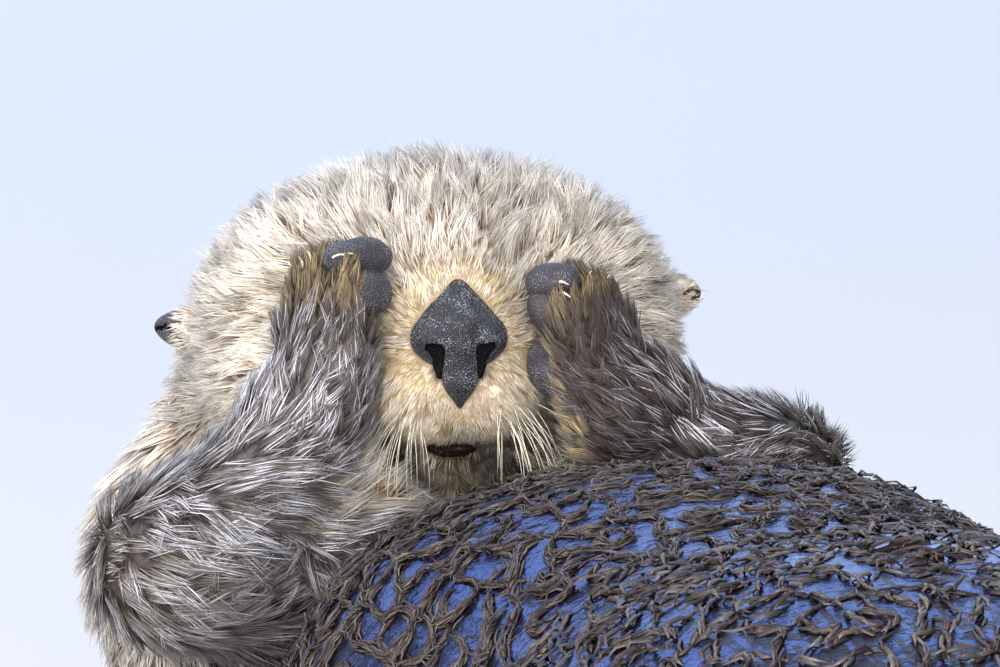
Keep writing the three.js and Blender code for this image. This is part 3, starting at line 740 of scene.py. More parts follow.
# How far each arm's length a place is, from 0 at the elbow to 1 at the wrist, and how far towards the muzzle.
def alongArm(h, side):
    arm = arms[side]
    bone = arm["wrist"] - arm["elbow"]
    t = (h - arm["elbow"]) @ bone / (bone @ bone)
    return t, -sides[side] * (h - arm["elbow"] - np.clip(t, 0, 1)[:, None] * bone)[:, 0]


# Markings over the plain colours of the parts: a golden ring round the nose, a white bridge over it, a
# browner band on the brow, tan patches, cream on the inner side of the arms and brown wet elbows, and painted
# shade: a dark chin under the muzzle and dark fur round the nostrils.
# These are their strengths. A pair of them is for two markings, such as how pale and how golden.
tint = {"ring": 0.60, "bridge": 0.45, "brow": 0.50, "chin": 0.95, "under": (0.06, 0.22), "away": 0.08,
        "patch": (0.46, 0.10), "palest": 0.52, "nape": (0.46, 0.5), "fading": (0.62, 0.20),
        "throat": (0.85, 0.5), "cream": (0.60, 0.40), "elbow": (0.05, 0.25), "black": 0.85,
        "stripe": (0.35, 0.75)}


def markHead(p, h, onHead, marks):
    ring = np.exp(-((noseShape(h) - 0.0035) / 0.0045) ** 2) * ease(-0.030, -0.012, h[:, 2] - h[:, 0] * 0.4)
    bridge = np.exp(-((size((h - mm(1, -62, 24)) / (2.1, 1, 1.1)) / 0.012) ** 2))
    brow = np.exp(-(size((h - mm(8, -36, 43)) / (2.2, 1.2, 0.75)) / 0.020) ** 2)
    under = ease(0.004, -0.024, h[:, 2]) * ease(0.060, 0.036, size(h - noseTip))
    # Painted shade: the chin under the muzzle loses its paleness and turns dark brown.
    chin = ease(-0.047, -0.052, h[:, 2]) * ease(0.075, 0.050, size(h - noseTip))
    away = ease(0.030, 0.060, size(h - noseTip))
    patches = ease(0.0, 0.6, 0.6 * rolling(p, 0.020, 5) + 0.7 * rolling(p, 0.0085, 6))
    marks[:, 1] += onHead * (tint["ring"] * ring - tint["bridge"] * bridge + tint["under"][1] * under
                             + tint["patch"][1] * patches * away - tint["away"] * away)
    marks[:, 0] -= onHead * (tint["brow"] * brow + tint["patch"][0] * patches * away
                             + tint["under"][0] * under + tint["chin"] * chin)
    marks[:, 0] = np.maximum(marks[:, 0], tint["palest"] * onHead * (1 - chin))
    # Painted shade: fur and skin round the nostril slits lose their pale and golden colour and turn dark.
    comma = ease(0.0016, 0.0002, nostrilComma((h - muzzleMiddle) * (1, 0, 1))) * ease(-0.050, -0.060, h[:, 1])
    marks[:, :2] -= (onHead * comma)[:, None]


# Behind, the pale coat of the head fades into the dark coat of the back along a ragged line.
def markNape(p, partShare, marks):
    behind = ease(0.0, 0.05, p[:, 1] - bodyPlace[1])
    ragged = 0.012 * rolling(p, 0.016, 8)
    nape = partShare["trunk"] * ease(0.065, -0.010, partField["neck"](p) + ragged) * behind
    fading = (partShare["neck"] + partShare["head"]) * behind
    fading *= ease(0.095, 0.0, partField["trunk"](p) + ragged)
    marks[:, 0] += tint["nape"][0] * nape - tint["fading"][0] * fading
    marks[:, 2] += tint["fading"][1] * fading
    marks[:, 3] -= tint["nape"][1] * nape


# Cream on the inner side and a brown elbow. The left forearm is nearly black outside.
def markArm(h, side, share, throat, marks):
    t, inner = alongArm(h, side)
    low = ease(0.22, -0.05, t)
    cream = ease(0.011, 0.018, inner) * ease(0.05, 0.35, t) * 0.9 * (1 - throat)
    marks[:, 0] += share * (tint["cream"][0] * cream + tint["elbow"][0] * low)
    marks[:, 1] += share * tint["cream"][1] * cream
    marks[:, 2] -= share * tint["elbow"][1] * (low + cream)
    marks[:, 3] += share * tint["elbow"][1] * low
    if side == "left":
        black = share * ease(0.45, 0.75, t) * (1 - cream) * ease(-0.012, 0.0, inner)
        marks[:, :3] *= (1 - tint["black"] * black)[:, None]


# The fingers' ends are golden. The left paw has a tan stripe along its inner edge.
def markPaw(h, side, share, marks):
    q = (h - arms[side]["wrist"]) @ arms[side]["axes"]
    ends = ease(0.018, 0.032, q[:, 2])
    if side == "right":
        marks[:, 1] += share * (0.28 * ends - 0.10)
        marks[:, 2] += share * (0.24 - 0.34 * ends)
    else:
        stripe = ease(-0.002, -0.008, q[:, 1]) * ease(0.022, 0.010, q[:, 2])
        marks[:, 0] += share * tint["stripe"][0] * stripe
        marks[:, 1] += share * (0.26 * ends + tint["stripe"][1] * stripe - 0.08)
        marks[:, 2] -= share * 0.10


def addMarks(p, weight, marks):
    h = (p - headPlace) @ headAxes
    partShare = {name: weight[:, n] for n, name in enumerate(partNames)}
    markHead(p, h, partShare["head"] + partShare["muzzle"], marks)
    markNape(p, partShare, marks)
    throat = ease(-0.058, -0.078, h[:, 2]) * ease(0.02, -0.02, h[:, 1])
    marks[:, 0] -= tint["throat"][0] * throat * (partShare["neck"] + partShare["trunk"])
    marks[:, 3] += tint["throat"][1] * throat * partShare["neck"]
    for side in sides:
        markArm(h, side, partShare["arm_" + side], throat, marks)
        markPaw(h, side, partShare["paw_" + side], marks)
    return np.clip(marks, 0, 1)


skinStyle = partWeight @ styleTable
markNames = ("pale", "gold", "silver", "wet")
skinMarks = addMarks(skinPoints, partWeight, skinStyle[:, [column[name] for name in markNames]])
skin = meshPiece("skin", skinPoints, skinFaces)
paintPoints(skin.data, "marking", skinMarks)
fleshNodes = [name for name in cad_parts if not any(
    word in name for word in ("ear_", "eye_", "nose", "pad_", "claw"))]
settle(skin, drySkin, "wet_fur", *fleshNodes)
# A painted reflection of the sky, a blue tinted shine, lies on the wet chest and fades towards the rump and
# the sides, with faces dithered between the strong and the faint shine.
shine = {"rump": (-0.48, -0.32), "side": (0.0, 0.05), "shoulder": (0.05, 0.0), "wetFrom": 0.6}
faceMiddle = skinPoints[skinFaces].mean(1)
faceAlong = faceMiddle[:, 1] - bodyPlace[1]
shining = (ease(*shine["rump"], faceAlong) * ease(*shine["side"], faceMiddle[:, 2])
           * ease(*shine["shoulder"], faceAlong))
shining = shining > np.random.default_rng(3).random(len(faceMiddle))
wetFaces = skinMarks[skinFaces, 3].mean(-1) > shine["wetFrom"]
addFinishes(skin, np.where(wetFaces, np.where(shining, 1, 2), 0), wetSkinStrongSkyShine, wetSkinFaintSkyShine)


# The lie of the coat: the way that its hairs point at each place, before the skin turns them along itself.
def lieOf(p):
    h = (p - headPlace) @ headAxes
    q = p - bodyPlace
    fromNose = unit(h - muzzleMiddle - mm(0, -62, -8)) @ headAxes.T
    lies = {
        "muzzle": fromNose,
        "head": fromNose,
        "neck": unit(np.stack((q[:, 0] * 4, q[:, 1] * 2 - 0.1, np.full(len(q), -0.55)), -1)),
        "trunk": unit(np.stack((q[:, 0] * 2.2 - 0.08, np.full(len(q), -0.8), np.full(len(q), -0.25)), -1)),
        "tail": np.tile(unit(np.array((-0.13, -1, 0.0))), (len(q), 1)),
    }
    for side, s in sides.items():
        arm = arms[side]
        up = unit(arm["wrist"] - arm["elbow"])
        t, inner = alongArm(h, side)
        low = ease(0.40, 0.0, t)
        fan = ease(-0.022 - 0.080 * low, 0.016 - 0.036 * low, inner) * (1 - ease(0.62, 0.95, t))
        behind = low[:, None] * (0, -0.9, -0.1)
        aside = fan[:, None] * np.stack((np.full(len(p), -s), np.full(len(p), -0.1), 0.45 * t - 0.5), -1)
        lies["arm_" + side] = unit(0.6 * up + 1.5 * aside + behind) @ headAxes.T
        lies["paw_" + side] = np.tile(headAxes @ arm["axes"][:, 2], (len(q), 1))
        lies["leg_" + side] = np.tile(unit(np.array((0.35 * s, -1, -0.2))), (len(q), 1))
        lies["flipper_" + side] = np.tile(flipperAxes(s)[:, 2], (len(q), 1))
    return lies


skinLies = lieOf(skinPoints)
skinLie = sum(partWeight[:, n, None] * skinLies[name] for n, name in enumerate(partNames))
hide = {"points": skinPoints, "faces": skinFaces, "normals": skinNormals, "lie": skinLie, "style": skinStyle,
        "marks": skinMarks}

padFields = {}
for side, arm in arms.items():
    padFields["finger_pad_" + side] = inPaw(side, lobes(arm, "fingerPad"))
    padFields["palm_pad_" + side] = inPaw(side, lobes(arm, "palmPad"))
webFields = {side: inPaw(side, lobes(arm, "web")) for side, arm in arms.items()}


# Distance to what stays bare: nose, pads and eyes.
def bareField(p):
    found = inHead(noseShape)(p)
    for field in (*padFields.values(), *webFields.values()):
        found = np.minimum(found, field(p) + 0.0004)
    for place in eyePlace.values():
        found = np.minimum(found, size(p - place) - 0.0085)
    return found


# One whole number for the cell of a grid that each place is in.
def cellNumber(p, most):
    cell = np.floor(p).astype(np.int64)
    return (cell[:, 0] * most + cell[:, 1]) * most + cell[:, 2]


# Roots spread evenly over some faces of a hide, with all that the hide knows there: more tries than are
# wanted, and one kept in each cell of a grid.
rooting = {"tries": 3.2, "cell": 1.16}


def rootsOn(hide, faces, spacing, rng):
    points, corner = hide["points"], hide["faces"][faces]
    across = points[corner[:, 2]] - points[corner[:, 0]]
    other = points[corner[:, 3]] - points[corner[:, 1]]
    area = size(np.cross(across, other)) / 2
    wanted = area / spacing**2 * rooting["tries"]
    count = np.floor(wanted + rng.random(len(wanted))).astype(int)
    corner = np.repeat(corner, count, axis=0)
    u, v = rng.random((2, len(corner), 1))
    share = ((1 - u) * (1 - v), u * (1 - v), u * v, (1 - u) * v)
    p = sum(part * points[corner[:, n]] for n, part in enumerate(share))
    order = rng.permutation(len(p))
    cell = cellNumber(p[order] / (rooting["cell"] * spacing) + 1000, 4096)
    kept = order[np.unique(cell, return_index=True)[1]]
    corner, share = corner[kept], [part[kept] for part in share]

    def spread(key):
        return sum(part * hide[key][corner[:, n]] for n, part in enumerate(share))

    return p[kept], unit(spread("normals")), spread("lie"), spread("style"), spread("marks")


# Tufts as closed three-sided spindles. A path is the root, the middles of the rings, and the tip.
def spindles(path, normal, width, thick):
    count, rows = len(path), path.shape[1] - 2
    stride = rows * 3 + 2
    points = np.empty((count, stride, 3))
    points[:, 0], points[:, -1] = path[:, 0], path[:, -1]
    for row in range(rows):
        middle = path[:, row + 1]
        along = unit(path[:, row + 2] - path[:, row])
        side = unit(np.cross(along, normal))
        half = side * (width / 2)[:, None]
        points[:, row * 3 + 1] = middle - half
        points[:, row * 3 + 2] = middle + half
        points[:, row * 3 + 3] = middle + np.cross(side, along) * thick[:, None]
    faces = []
    for k in range(3):
        nextK = (k + 1) % 3
        faces.append((0, 1 + k, 1 + nextK))
        for row in range(rows - 1):
            a = 1 + row * 3
            faces += [(a + k, a + k + 3, a + nextK + 3), (a + k, a + nextK + 3, a + nextK)]
        last = 1 + (rows - 1) * 3
        faces.append((last + k, stride - 1, last + nextK))
    allFaces = (np.array(faces)[None] + (np.arange(count) * stride)[:, None, None]).reshape(-1, 3)
    return points, allFaces


# A root's place on an unwrap of the hide round an axis: the turn round it, and the way along it.
def unwrapRound(p, start, end, ball):
    axis = unit(end - start)
    side = unit(np.cross(axis, (0.31, 0.17, 0.93) if abs(axis[2]) < 0.8 else (1.0, 0.2, 0.1)))
    up = np.cross(side, axis)
    q = p - (start + end) / 2
    turn = np.arctan2(q @ side, q @ up) / (2 * math.pi) + 0.5
    way = q @ axis
    if ball:
        way = np.arctan2(way, size(q - way[:, None] * axis))
    way = (way - way.min()) / max(way.max() - way.min(), 1e-6)
    return np.stack((0.004 + 0.990 * turn, 0.004 + 0.990 * way), -1)


# Wet hair gathers into wandering ridges, where waves laid across each other cancel. For a place, this says
# how far it lies from the middle of its ridge, which way that is, and which way the ridge runs.
wave = {"count": 10, "stretch": (1.0, 0.85, 1.0), "pitch": (0.75, 1.3)}


def ridges(p, normal, width, heading):
    waves = np.random.default_rng(77)
    value, slope = np.zeros(len(p)), np.zeros((len(p), 3))
    for _ in range(wave["count"]):
        way = unit(waves.normal(size=3)) * wave["stretch"] * waves.uniform(*wave["pitch"]) * math.pi
        phase = p @ way / width + waves.uniform(0, 2 * math.pi)
        value += np.sin(phase)
        slope += np.cos(phase)[:, None] * way / width[:, None]
    slope -= dot(slope, normal) * normal
    steep = np.maximum(size(slope), 0.5 * slope.std())
    line = unit(np.cross(normal, slope))
    line *= np.where(dot(line, heading) < 0, -1, 1)
    return (np.clip(value / steep / width, -0.5, 0.5) * width)[:, None], unit(slope), line


# The path of each wet tuft: it keeps to its side of the ridge, highest in the middle, and climbs and sinks.
ridgePath = {"climbs": (1.0, 0.25, -0.3), "edge": 0.35, "heading": 0.10, "reach": 0.13}


def alongRidge(start, normal, heading, width, longs, rise, hold):
    away, across, line = ridges(start, normal, width, heading)
    held = hold[:, None] * away
    high = 1 - (away / (0.5 * width[:, None])) ** 2
    path = [start - (away - held) * across]
    for climb in ridgePath["climbs"]:
        angle = rise[:, None] * (ridgePath["edge"] + (1 - ridgePath["edge"]) * high) * climb
        line = unit(line + ridgePath["heading"] * heading)
        place = path[-1] + (line * np.cos(angle) + normal * np.sin(angle)) * longs[:, None] / 3
        away, across, line = ridges(place, normal, width, line)
        reach = ridgePath["reach"] * longs[:, None]
        path.append(place - np.clip(away - held, -reach, reach) * across)
    return np.stack(path, 1)


patch = 0.003  # a tuft's own part of the unwrap
coatDensity = 1.0
# How much tufts differ from their part's style. A guard hair is longer, thinner and more silvered. Near the
# nose, tufts are shorter and stand up by an angle in degrees.
tuft = {"length": (0.70, 1.22), "width": (0.75, 1.3), "sink": 0.0009, "hold": (0.15, 0.62),
        "clumpLift": (0.65, 1.3), "lift": (0.8, 1.2), "pull": (0.6, 1.2), "clumpTint": (0.4, 1.6),
        "byNose": {"shorter": 0.55, "upright": 58}}
guardHair = {"length": 1.22, "width": 0.80, "gold": 0.3, "silver": (2.2, 0.12), "paler": 0.25}


def sizeTufts(get, marks, coarse, rng):
    count = len(marks)
    longs = get["length"] / 1000 * rng.uniform(*tuft["length"], count) * coarse**0.3
    width = get["width"] / 1000 * rng.uniform(*tuft["width"], count) / math.sqrt(coatDensity) * coarse**0.8
    guard = rng.random(count) < get["guard"]
    longs *= np.where(guard, guardHair["length"], 1.0)
    width *= np.where(guard, guardHair["width"], 1.0)
    marks[:, 1] *= np.where(guard, guardHair["gold"], 1.0)
    marks[:, 2] = np.clip(marks[:, 2] * np.where(guard, *guardHair["silver"]), 0, 1)
    paler = np.minimum(marks[:, 0] + guardHair["paler"], 1)
    marks[:, 0] = np.where(guard & (marks[:, 0] > 0.5), paler, marks[:, 0])
    return longs, width


# Hairs that share a cell of a warped grid are a clump: they lean the same way and meet at their tips.
def clumpsOf(root, width):
    warp = np.stack([rolling(root, 3.1 * width, 11 + n) for n in range(3)], -1) * 0.6
    return np.unique(cellNumber(root / width + warp + 500, 2048), return_inverse=True)[1]


def clumpMean(values, clump):
    sums = np.stack([np.bincount(clump, v) for v in values.T], -1)
    return sums[clump] / np.bincount(clump)[clump][:, None]


# The path of each dry tuft: it bends up from the skin, and its tip is pulled to its clump's.
def alongClump(start, normal, tangent, longs, rise, tipRise, clump, pull):
    raising = tangent * np.cos(rise)[:, None] + normal * np.sin(rise)[:, None]
    ending = tangent * np.cos(tipRise)[:, None] + normal * np.sin(tipRise)[:, None]
    bend = start + raising * (0.55 * longs)[:, None]
    tip = bend + ending * (0.5 * longs)[:, None]
    pulled = clumpMean(tip, clump) + tangent * (0.25 * longs)[:, None]
    tip = tip + (pulled - tip) * pull
    bend = bend + (pulled - tip) * pull * 0.25
    return np.stack((start, 0.36 * start + 0.48 * bend + 0.16 * tip, tip), 1)


# All tufts of a piece in one mesh, with both unwraps and the markings. The more soft a piece is, the more
# its shading follows the hide under it.
def coatPiece(name, path, normal, width, marks, place, chance, soft):
    count, rows = len(path), path.shape[1] - 2
    points, faces = spindles(path, normal, width, width * 0.5)
    points[:, :, 2] = np.maximum(points[:, :, 2], floorLevel)
    stride = points.shape[1]
    piece = meshPiece(name, points.reshape(-1, 3), faces)
    mesh = piece.data
    along = np.array([0.0] + [(row + 1.2) / (rows + 1.6) for row in range(rows) for _ in range(3)] + [1.0])
    across = np.array([0.5] + [0.0, 1.0, 0.5] * rows + [0.5])
    strand = np.stack((np.repeat(chance, stride), np.tile(along, count)), -1)
    corner = np.stack((np.tile(across, count), np.tile(along, count)), -1)
    bake = np.repeat(place, stride, axis=0) + patch * corner
    for label, uv in (("OFBake", bake), ("strand", strand)):
        mesh.uv_layers.new(name=label).data.foreach_set("uv", uv[faces].astype(np.float32).ravel())
    paintPoints(mesh, "marking", np.repeat(marks, stride, axis=0))
    geometric = np.empty(len(mesh.vertices) * 3, np.float32)
    mesh.vertices.foreach_get("normal", geometric)
    mixed = unit((1 - soft) * geometric.reshape(-1, 3) + soft * np.repeat(normal, stride, axis=0))
    mesh.normals_split_custom_set_from_vertices(mixed)
    print("otter:", name, count, "tufts", len(faces), "triangles")
    return piece


def growCoat(name, hide, chosen, spacing, axis, ball, slot, material, soft, coarse=1.0):
    rng = np.random.default_rng(sum(map(ord, name)))
    spacing = spacing * coarse / 1000 / math.sqrt(coatDensity)
    root, normal, lie, style, marks = rootsOn(hide, np.nonzero(chosen)[0], spacing, rng)
    bare = np.minimum(bareField(root), inHead(mouthSlot)(root) - 0.0004) < -0.0002
    root, normal, lie, style, marks = (values[~bare] for values in (root, normal, lie, style, marks))
    count = len(root)
    get = {label: style[:, n] for label, n in column.items()}
    longs, width = sizeTufts(get, marks, coarse, rng)
    near = ease(0.013, 0.001, inHead(noseShape)(root))
    longs *= 1 - tuft["byNose"]["shorter"] * near

    clump = clumpsOf(root, (get["clumpWidth"] / 1000).mean())
    clumps = clump.max() + 1
    uneven = 0.22 * rng.normal(size=clumps)[clump] * ease(0.25, 0.5, marks[:, 0])
    marks[:, 0] = np.clip(marks[:, 0] + uneven, 0, 1)
    marks[:, 1:3] = np.clip(marks[:, 1:3] * rng.uniform(*tuft["clumpTint"], (clumps, 2))[clump], 0, 1)
    turn = get["sway"] * (0.9 * rolling(root, 0.030, 23) + 0.75 * rng.normal(size=clumps)[clump]
                          + 0.25 * rng.normal(size=count))
    tangent = unit(lie - dot(lie, normal) * normal)
    tangent = tangent * np.cos(turn)[:, None] + np.cross(normal, tangent) * np.sin(turn)[:, None]
    lift = rng.uniform(*tuft["clumpLift"], clumps)[clump] * rng.uniform(*tuft["lift"], count)
    rise = np.radians(get["rise"] * (1 - near) + tuft["byNose"]["upright"] * near) * lift
    start = root - tuft["sink"] * normal
    ridge = get["ridge"] / 1000
    if ridge.mean() > 0.0025:
        hold = rng.uniform(*tuft["hold"], count)
        path = alongRidge(start, normal, tangent, np.maximum(ridge, 0.004), longs, rise, hold)
        marks[:, 0] = np.clip(marks[:, 0] + 0.10 * rng.random(count) ** 2, 0, 1)
    else:
        pull = (get["clump"] * rng.uniform(*tuft["pull"], count))[:, None]
        tipRise = np.radians(get["tipRise"]) * lift
        path = alongClump(start, normal, tangent, longs, rise, tipRise, clump, pull)

    free = (bareField(path[:, -1]) > 0.0003) & (bareField((path[:, -1] + path[:, -2]) / 2) > 0.0002)
    path, normal, width, marks, root = (values[free] for values in (path, normal, width, marks, root))
    place = unwrapRound(root, *axis, ball)
    piece = coatPiece(name, path, normal, width, marks, place, rng.random(len(path)), soft)
    settle(piece, material, slot)


def leatherMaterial(name, ground, bead, grain, light, bump, gloss=0.5):
    material, tree, shader = newMaterial(name, Specular_IOR_Level=gloss)
    group = addNode(tree, "ShaderNodeGroup", {"node_tree": leatherNodes}, Ground=ground, Bead=bead,
                    Grain=grain, Light=light)
    feed(tree, shader, Base_Color=group.outputs["Colour"], Roughness=group.outputs["Roughness"],
         Normal=raised(tree, bump, 0.0011, group.outputs["Height"]))
    return material


# The second colour of each leather finish is painted on the bead tops as highlight.
noseFinish = leatherMaterial("noseFinish", (0.016, 0.017, 0.024, 1), (0.52, 0.54, 0.64, 1), 1250.0, 1.0, 1.0)
# Near-black finish for painted shade in recesses: the nostrils and the ear slits.
recessShadeFinish = leatherMaterial("recessShadeFinish", (0.003, 0.003, 0.004, 1), (0.008, 0.008, 0.010, 1),
                                900.0, 0.5, 0.3, 0.06)
padFinish = leatherMaterial("padFinish", (0.036, 0.034, 0.044, 1), (0.46, 0.44, 0.52, 1), 1500.0, 0.9, 0.9)
earFinish = leatherMaterial("earFinish", (0.035, 0.034, 0.042, 1), (0.20, 0.19, 0.23, 1), 1100.0, 0.7, 0.4)
mouthRedAndShadeFinish = leatherMaterial("mouthRedAndShadeFinish", (0.010, 0.004, 0.004, 1), (0.085, 0.018, 0.016, 1),
                              500.0, 0.9, 0.3, 0.15)

noseCentre = fromHead(muzzleMiddle + mm(0, -76, -9))
solidPiece("nosePad", inHead(noseField), noseCentre, mm(24, 24, 28), 0.0008, noseFinish, "nose_skin", "nose")


# A near-black sheet at the bottom of the nostrils: painted shade in the nostril holes.
def nostrilShadow(h):
    q = h - muzzleMiddle
    return np.maximum(nostrilComma(q * (1, 0, 1)) - 0.0004, np.abs(q[:, 1] + 0.0735) - 0.0020)


solidPiece("nostrilShadow", inHead(nostrilShadow), noseCentre, mm(20, 20, 24), 0.0008, recessShadeFinish,
           "nose_skin")


def padPiece(name, side, place, field, finish, *replaced):
    arm = arms[side]
    centre = fromHead(arm["wrist"] + arm["axes"] @ mm(*place))
    solidPiece(name + side, field, centre, mm(32, 32, 32), 0.0011, finish, "pad_skin", *replaced)


webColours = {"right": ((0.34, 0.25, 0.21, 1), (0.56, 0.45, 0.41, 1)),
              "left": ((0.030, 0.027, 0.030, 1), (0.15, 0.14, 0.16, 1))}
for side, arm in arms.items():
    for label, key in (("finger", "fingerPad"), ("palm", "palmPad")):
        name = label + "_pad_" + side
        padPiece(label + "Pad_", side, arm[key][0][0], padFields[name], padFinish, name)
    webFinish = leatherMaterial("webFinish_" + side, *webColours[side], 1300.0, 0.6, 0.4)
    padPiece("pawWeb_", side, arm["web"][0][0], webFields[side], webFinish)
print("otter: nose and pads")


# The mouth inside: a wall behind the lips and the tip of the tongue, dark red: partly the mouth's own red,
# partly painted shade inside the mouth.
def mouthInside(h):
    wall = np.maximum(mouthSlot(h) - 0.0008, -0.042 - h[:, 1])
    tongue = ellipsoid(muzzleMiddle + mm(1.5, -54, -46.5), mm(6, 8, 2.4))(h)
    return np.minimum(wall, tongue)


mouthCentre = fromHead(muzzleMiddle + mm(0, -56, -46))
solidPiece("mouthLining", inHead(mouthInside), mouthCentre, mm(30, 30, 16), 0.0012, mouthRedAndShadeFinish, "nose_skin")

# Ears: small thick leaves, rolled at the tip round a slit painted dark as shade, furred at the base.
ear = {"out": 84, "back": 20, "height": {"left": 3, "right": -6}, "lean": 30, "size": (13, 6.2, 7.6),
       "furred": {"left": 0.0085, "right": 0.0025}}
earStyle = np.array(styleOf("ear"))


def earAxes(s):
    return headAxes @ np.array(Matrix.Rotation(math.radians(s * ear["lean"]), 3, "Z"))


def earSlit(s):
    return limb(mm(s * 4.0, -5.2, 1.4), mm(s * 14.5, -1.3, 0.2), 0.0011, 0.0007)


def earShape(s):
    shell = blend(0.003, ellipsoid(mm(0, 0, 0), mm(*ear["size"])),
                  ellipsoid(mm(s * 7.5, 1.0, 0.8), mm(8.2, 3.8, 4.6)))
    return lambda p: np.maximum(shell(p), -earSlit(s)(p))


earHides = {}
for side, s in sides.items():
    place = fromHead(mm(s * ear["out"], ear["back"], ear["height"][side]))
    field = within(earAxes(s), place, earShape(s))
    shell, earPoints, earFaces = solidPiece("ear_shell_" + side, field, place, mm(19, 19, 13), 0.0009,
                                            earFinish, "pale_fur", "ear_" + side)
    own = (earPoints - place) @ earAxes(s)
    marks = np.tile(earStyle[[column[label] for label in markNames]], (len(own), 1))
    marks[:, 0] -= 0.25 * ease(0.004, 0.012, s * own[:, 0])
    paintPoints(shell.data, "marking", np.clip(marks, 0, 1))
    middle = own[earFaces].mean(1)
    finishOf = np.where(s * middle[:, 0] < ear["furred"][side] - 0.0008, 1, 0)
    # The slit's faces get the near-black finish of painted shade.
    finishOf[earSlit(s)(middle) < 0.00025] = 2
    addFinishes(shell, finishOf, drySkin, recessShadeFinish)
    earHides[side] = {
        "points": earPoints, "faces": earFaces, "normals": unit(slopeOf(field, earPoints)[1]),
        "lie": np.tile(earAxes(s) @ unit(np.array((s, 0.15, -0.1))), (len(own), 1)),
        "style": np.tile(earStyle, (len(own), 1)), "marks": np.clip(marks, 0, 1), "out": s * own[:, 0],
        "axis": (place - earAxes(s)[:, 0] * s * 0.012, place + earAxes(s)[:, 0] * s * 0.014)}
print("otter: mouth and ears")


# Horns grown on points by Geometry Nodes: whiskers and claws are the same tapered arc with other sizes.
# Each point says which way its horn goes, which way it hooks, and how long it is.
def hornTree():
    tree = bpy.data.node_groups.new("hornGrowth", "GeometryNodeTree")
    tree.interface.new_socket(name="Geometry", in_out="INPUT", socket_type="NodeSocketGeometry")
    for label, kind, value in (("Thickness", "Float", 0.02), ("Bend", "Float", 0.2), ("Taper", "Float", 0.9),
                               ("Steps", "Int", 8), ("Sides", "Int", 6)):
        socket = tree.interface.new_socket(name=label, in_out="INPUT", socket_type="NodeSocket" + kind)
        socket.default_value = value
    tree.interface.new_socket(name="Finish", in_out="INPUT", socket_type="NodeSocketMaterial")
    tree.interface.new_socket(name="Geometry", in_out="OUTPUT", socket_type="NodeSocketGeometry")
    given, result = tree.nodes.new("NodeGroupInput").outputs, tree.nodes.new("NodeGroupOutput").inputs

    def named(label, kind):
        node = addNode(tree, "GeometryNodeInputNamedAttribute", {"data_type": kind}, Name=label)
        return node.outputs["Attribute"]

    end = addNode(tree, "ShaderNodeCombineXYZ", X=given["Bend"], Z=1.0).outputs[0]
    arc = addNode(tree, "GeometryNodeCurveQuadraticBezier", {}, Resolution=given["Steps"], Start=(0, 0, 0),
                  Middle=(0, 0, 0.55), End=end).outputs[0]
    factor = addNode(tree, "GeometryNodeSplineParameter").outputs["Factor"]
    slim = times(tree, given["Taper"], calculate(tree, "POWER", factor, 1.4))
    radius = times(tree, given["Thickness"], calculate(tree, "SUBTRACT", 1.0, slim))
    ring = addNode(tree, "GeometryNodeCurvePrimitiveCircle", {}, Resolution=given["Sides"],
                   Radius=1.0).outputs[0]
    horn = addNode(tree, "GeometryNodeCurveToMesh", {}, n0=arc, n1=ring, Scale=radius)
    horn.inputs["Fill Caps"].default_value = True
    turned = addNode(tree, "FunctionNodeAlignRotationToVector", {"axis": "Z"},
                     Vector=named("way", "FLOAT_VECTOR"))
    hooked = addNode(tree, "FunctionNodeAlignRotationToVector", {"axis": "X", "pivot_axis": "Z"},
                     Rotation=turned.outputs[0], Vector=named("hook", "FLOAT_VECTOR"))
    grown = addNode(tree, "GeometryNodeInstanceOnPoints", {}, Points=given["Geometry"],
                    Instance=horn.outputs[0], Rotation=hooked.outputs[0], Scale=named("reach", "FLOAT"))
    plain = addNode(tree, "GeometryNodeRealizeInstances", {}, n0=grown.outputs[0]).outputs[0]
    dressed = addNode(tree, "GeometryNodeSetMaterial", {}, Geometry=plain, Material=given["Finish"])
    tree.links.new(dressed.outputs[0], result["Geometry"])
    return tree


hornNodes = hornTree()


def hornSeeds(name, points, ways, hooks, reaches):
    mesh = bpy.data.meshes.new(name)
    mesh.vertices.add(len(points))
    mesh.vertices.foreach_set("co", np.asarray(points, np.float32).ravel())
    for label, kind, field, values in (("way", "FLOAT_VECTOR", "vector", ways),
                                       ("hook", "FLOAT_VECTOR", "vector", hooks),
                                       ("reach", "FLOAT", "value", reaches)):
        attribute = mesh.attributes.new(label, kind, "POINT")
        attribute.data.foreach_set(field, np.asarray(values, np.float32).ravel())
    seeds = bpy.data.objects.new(name, mesh)
    bpy.context.scene.collection.objects.link(seeds)
    return seeds


# A closed mesh whose faces look in encloses less than nothing, and is turned round.
def faceOut(mesh):
    corners = np.empty(len(mesh.vertices) * 3)
    mesh.vertices.foreach_get("co", corners)
    mesh.calc_loop_triangles()
    triangles = np.empty(len(mesh.loop_triangles) * 3, np.int32)
    mesh.loop_triangles.foreach_get("vertices", triangles)
    a, b, c = corners.reshape(-1, 3)[triangles.reshape(-1, 3)].transpose(1, 0, 2)
    if (a * np.cross(b, c)).sum() < 0:
        mesh.flip_normals()


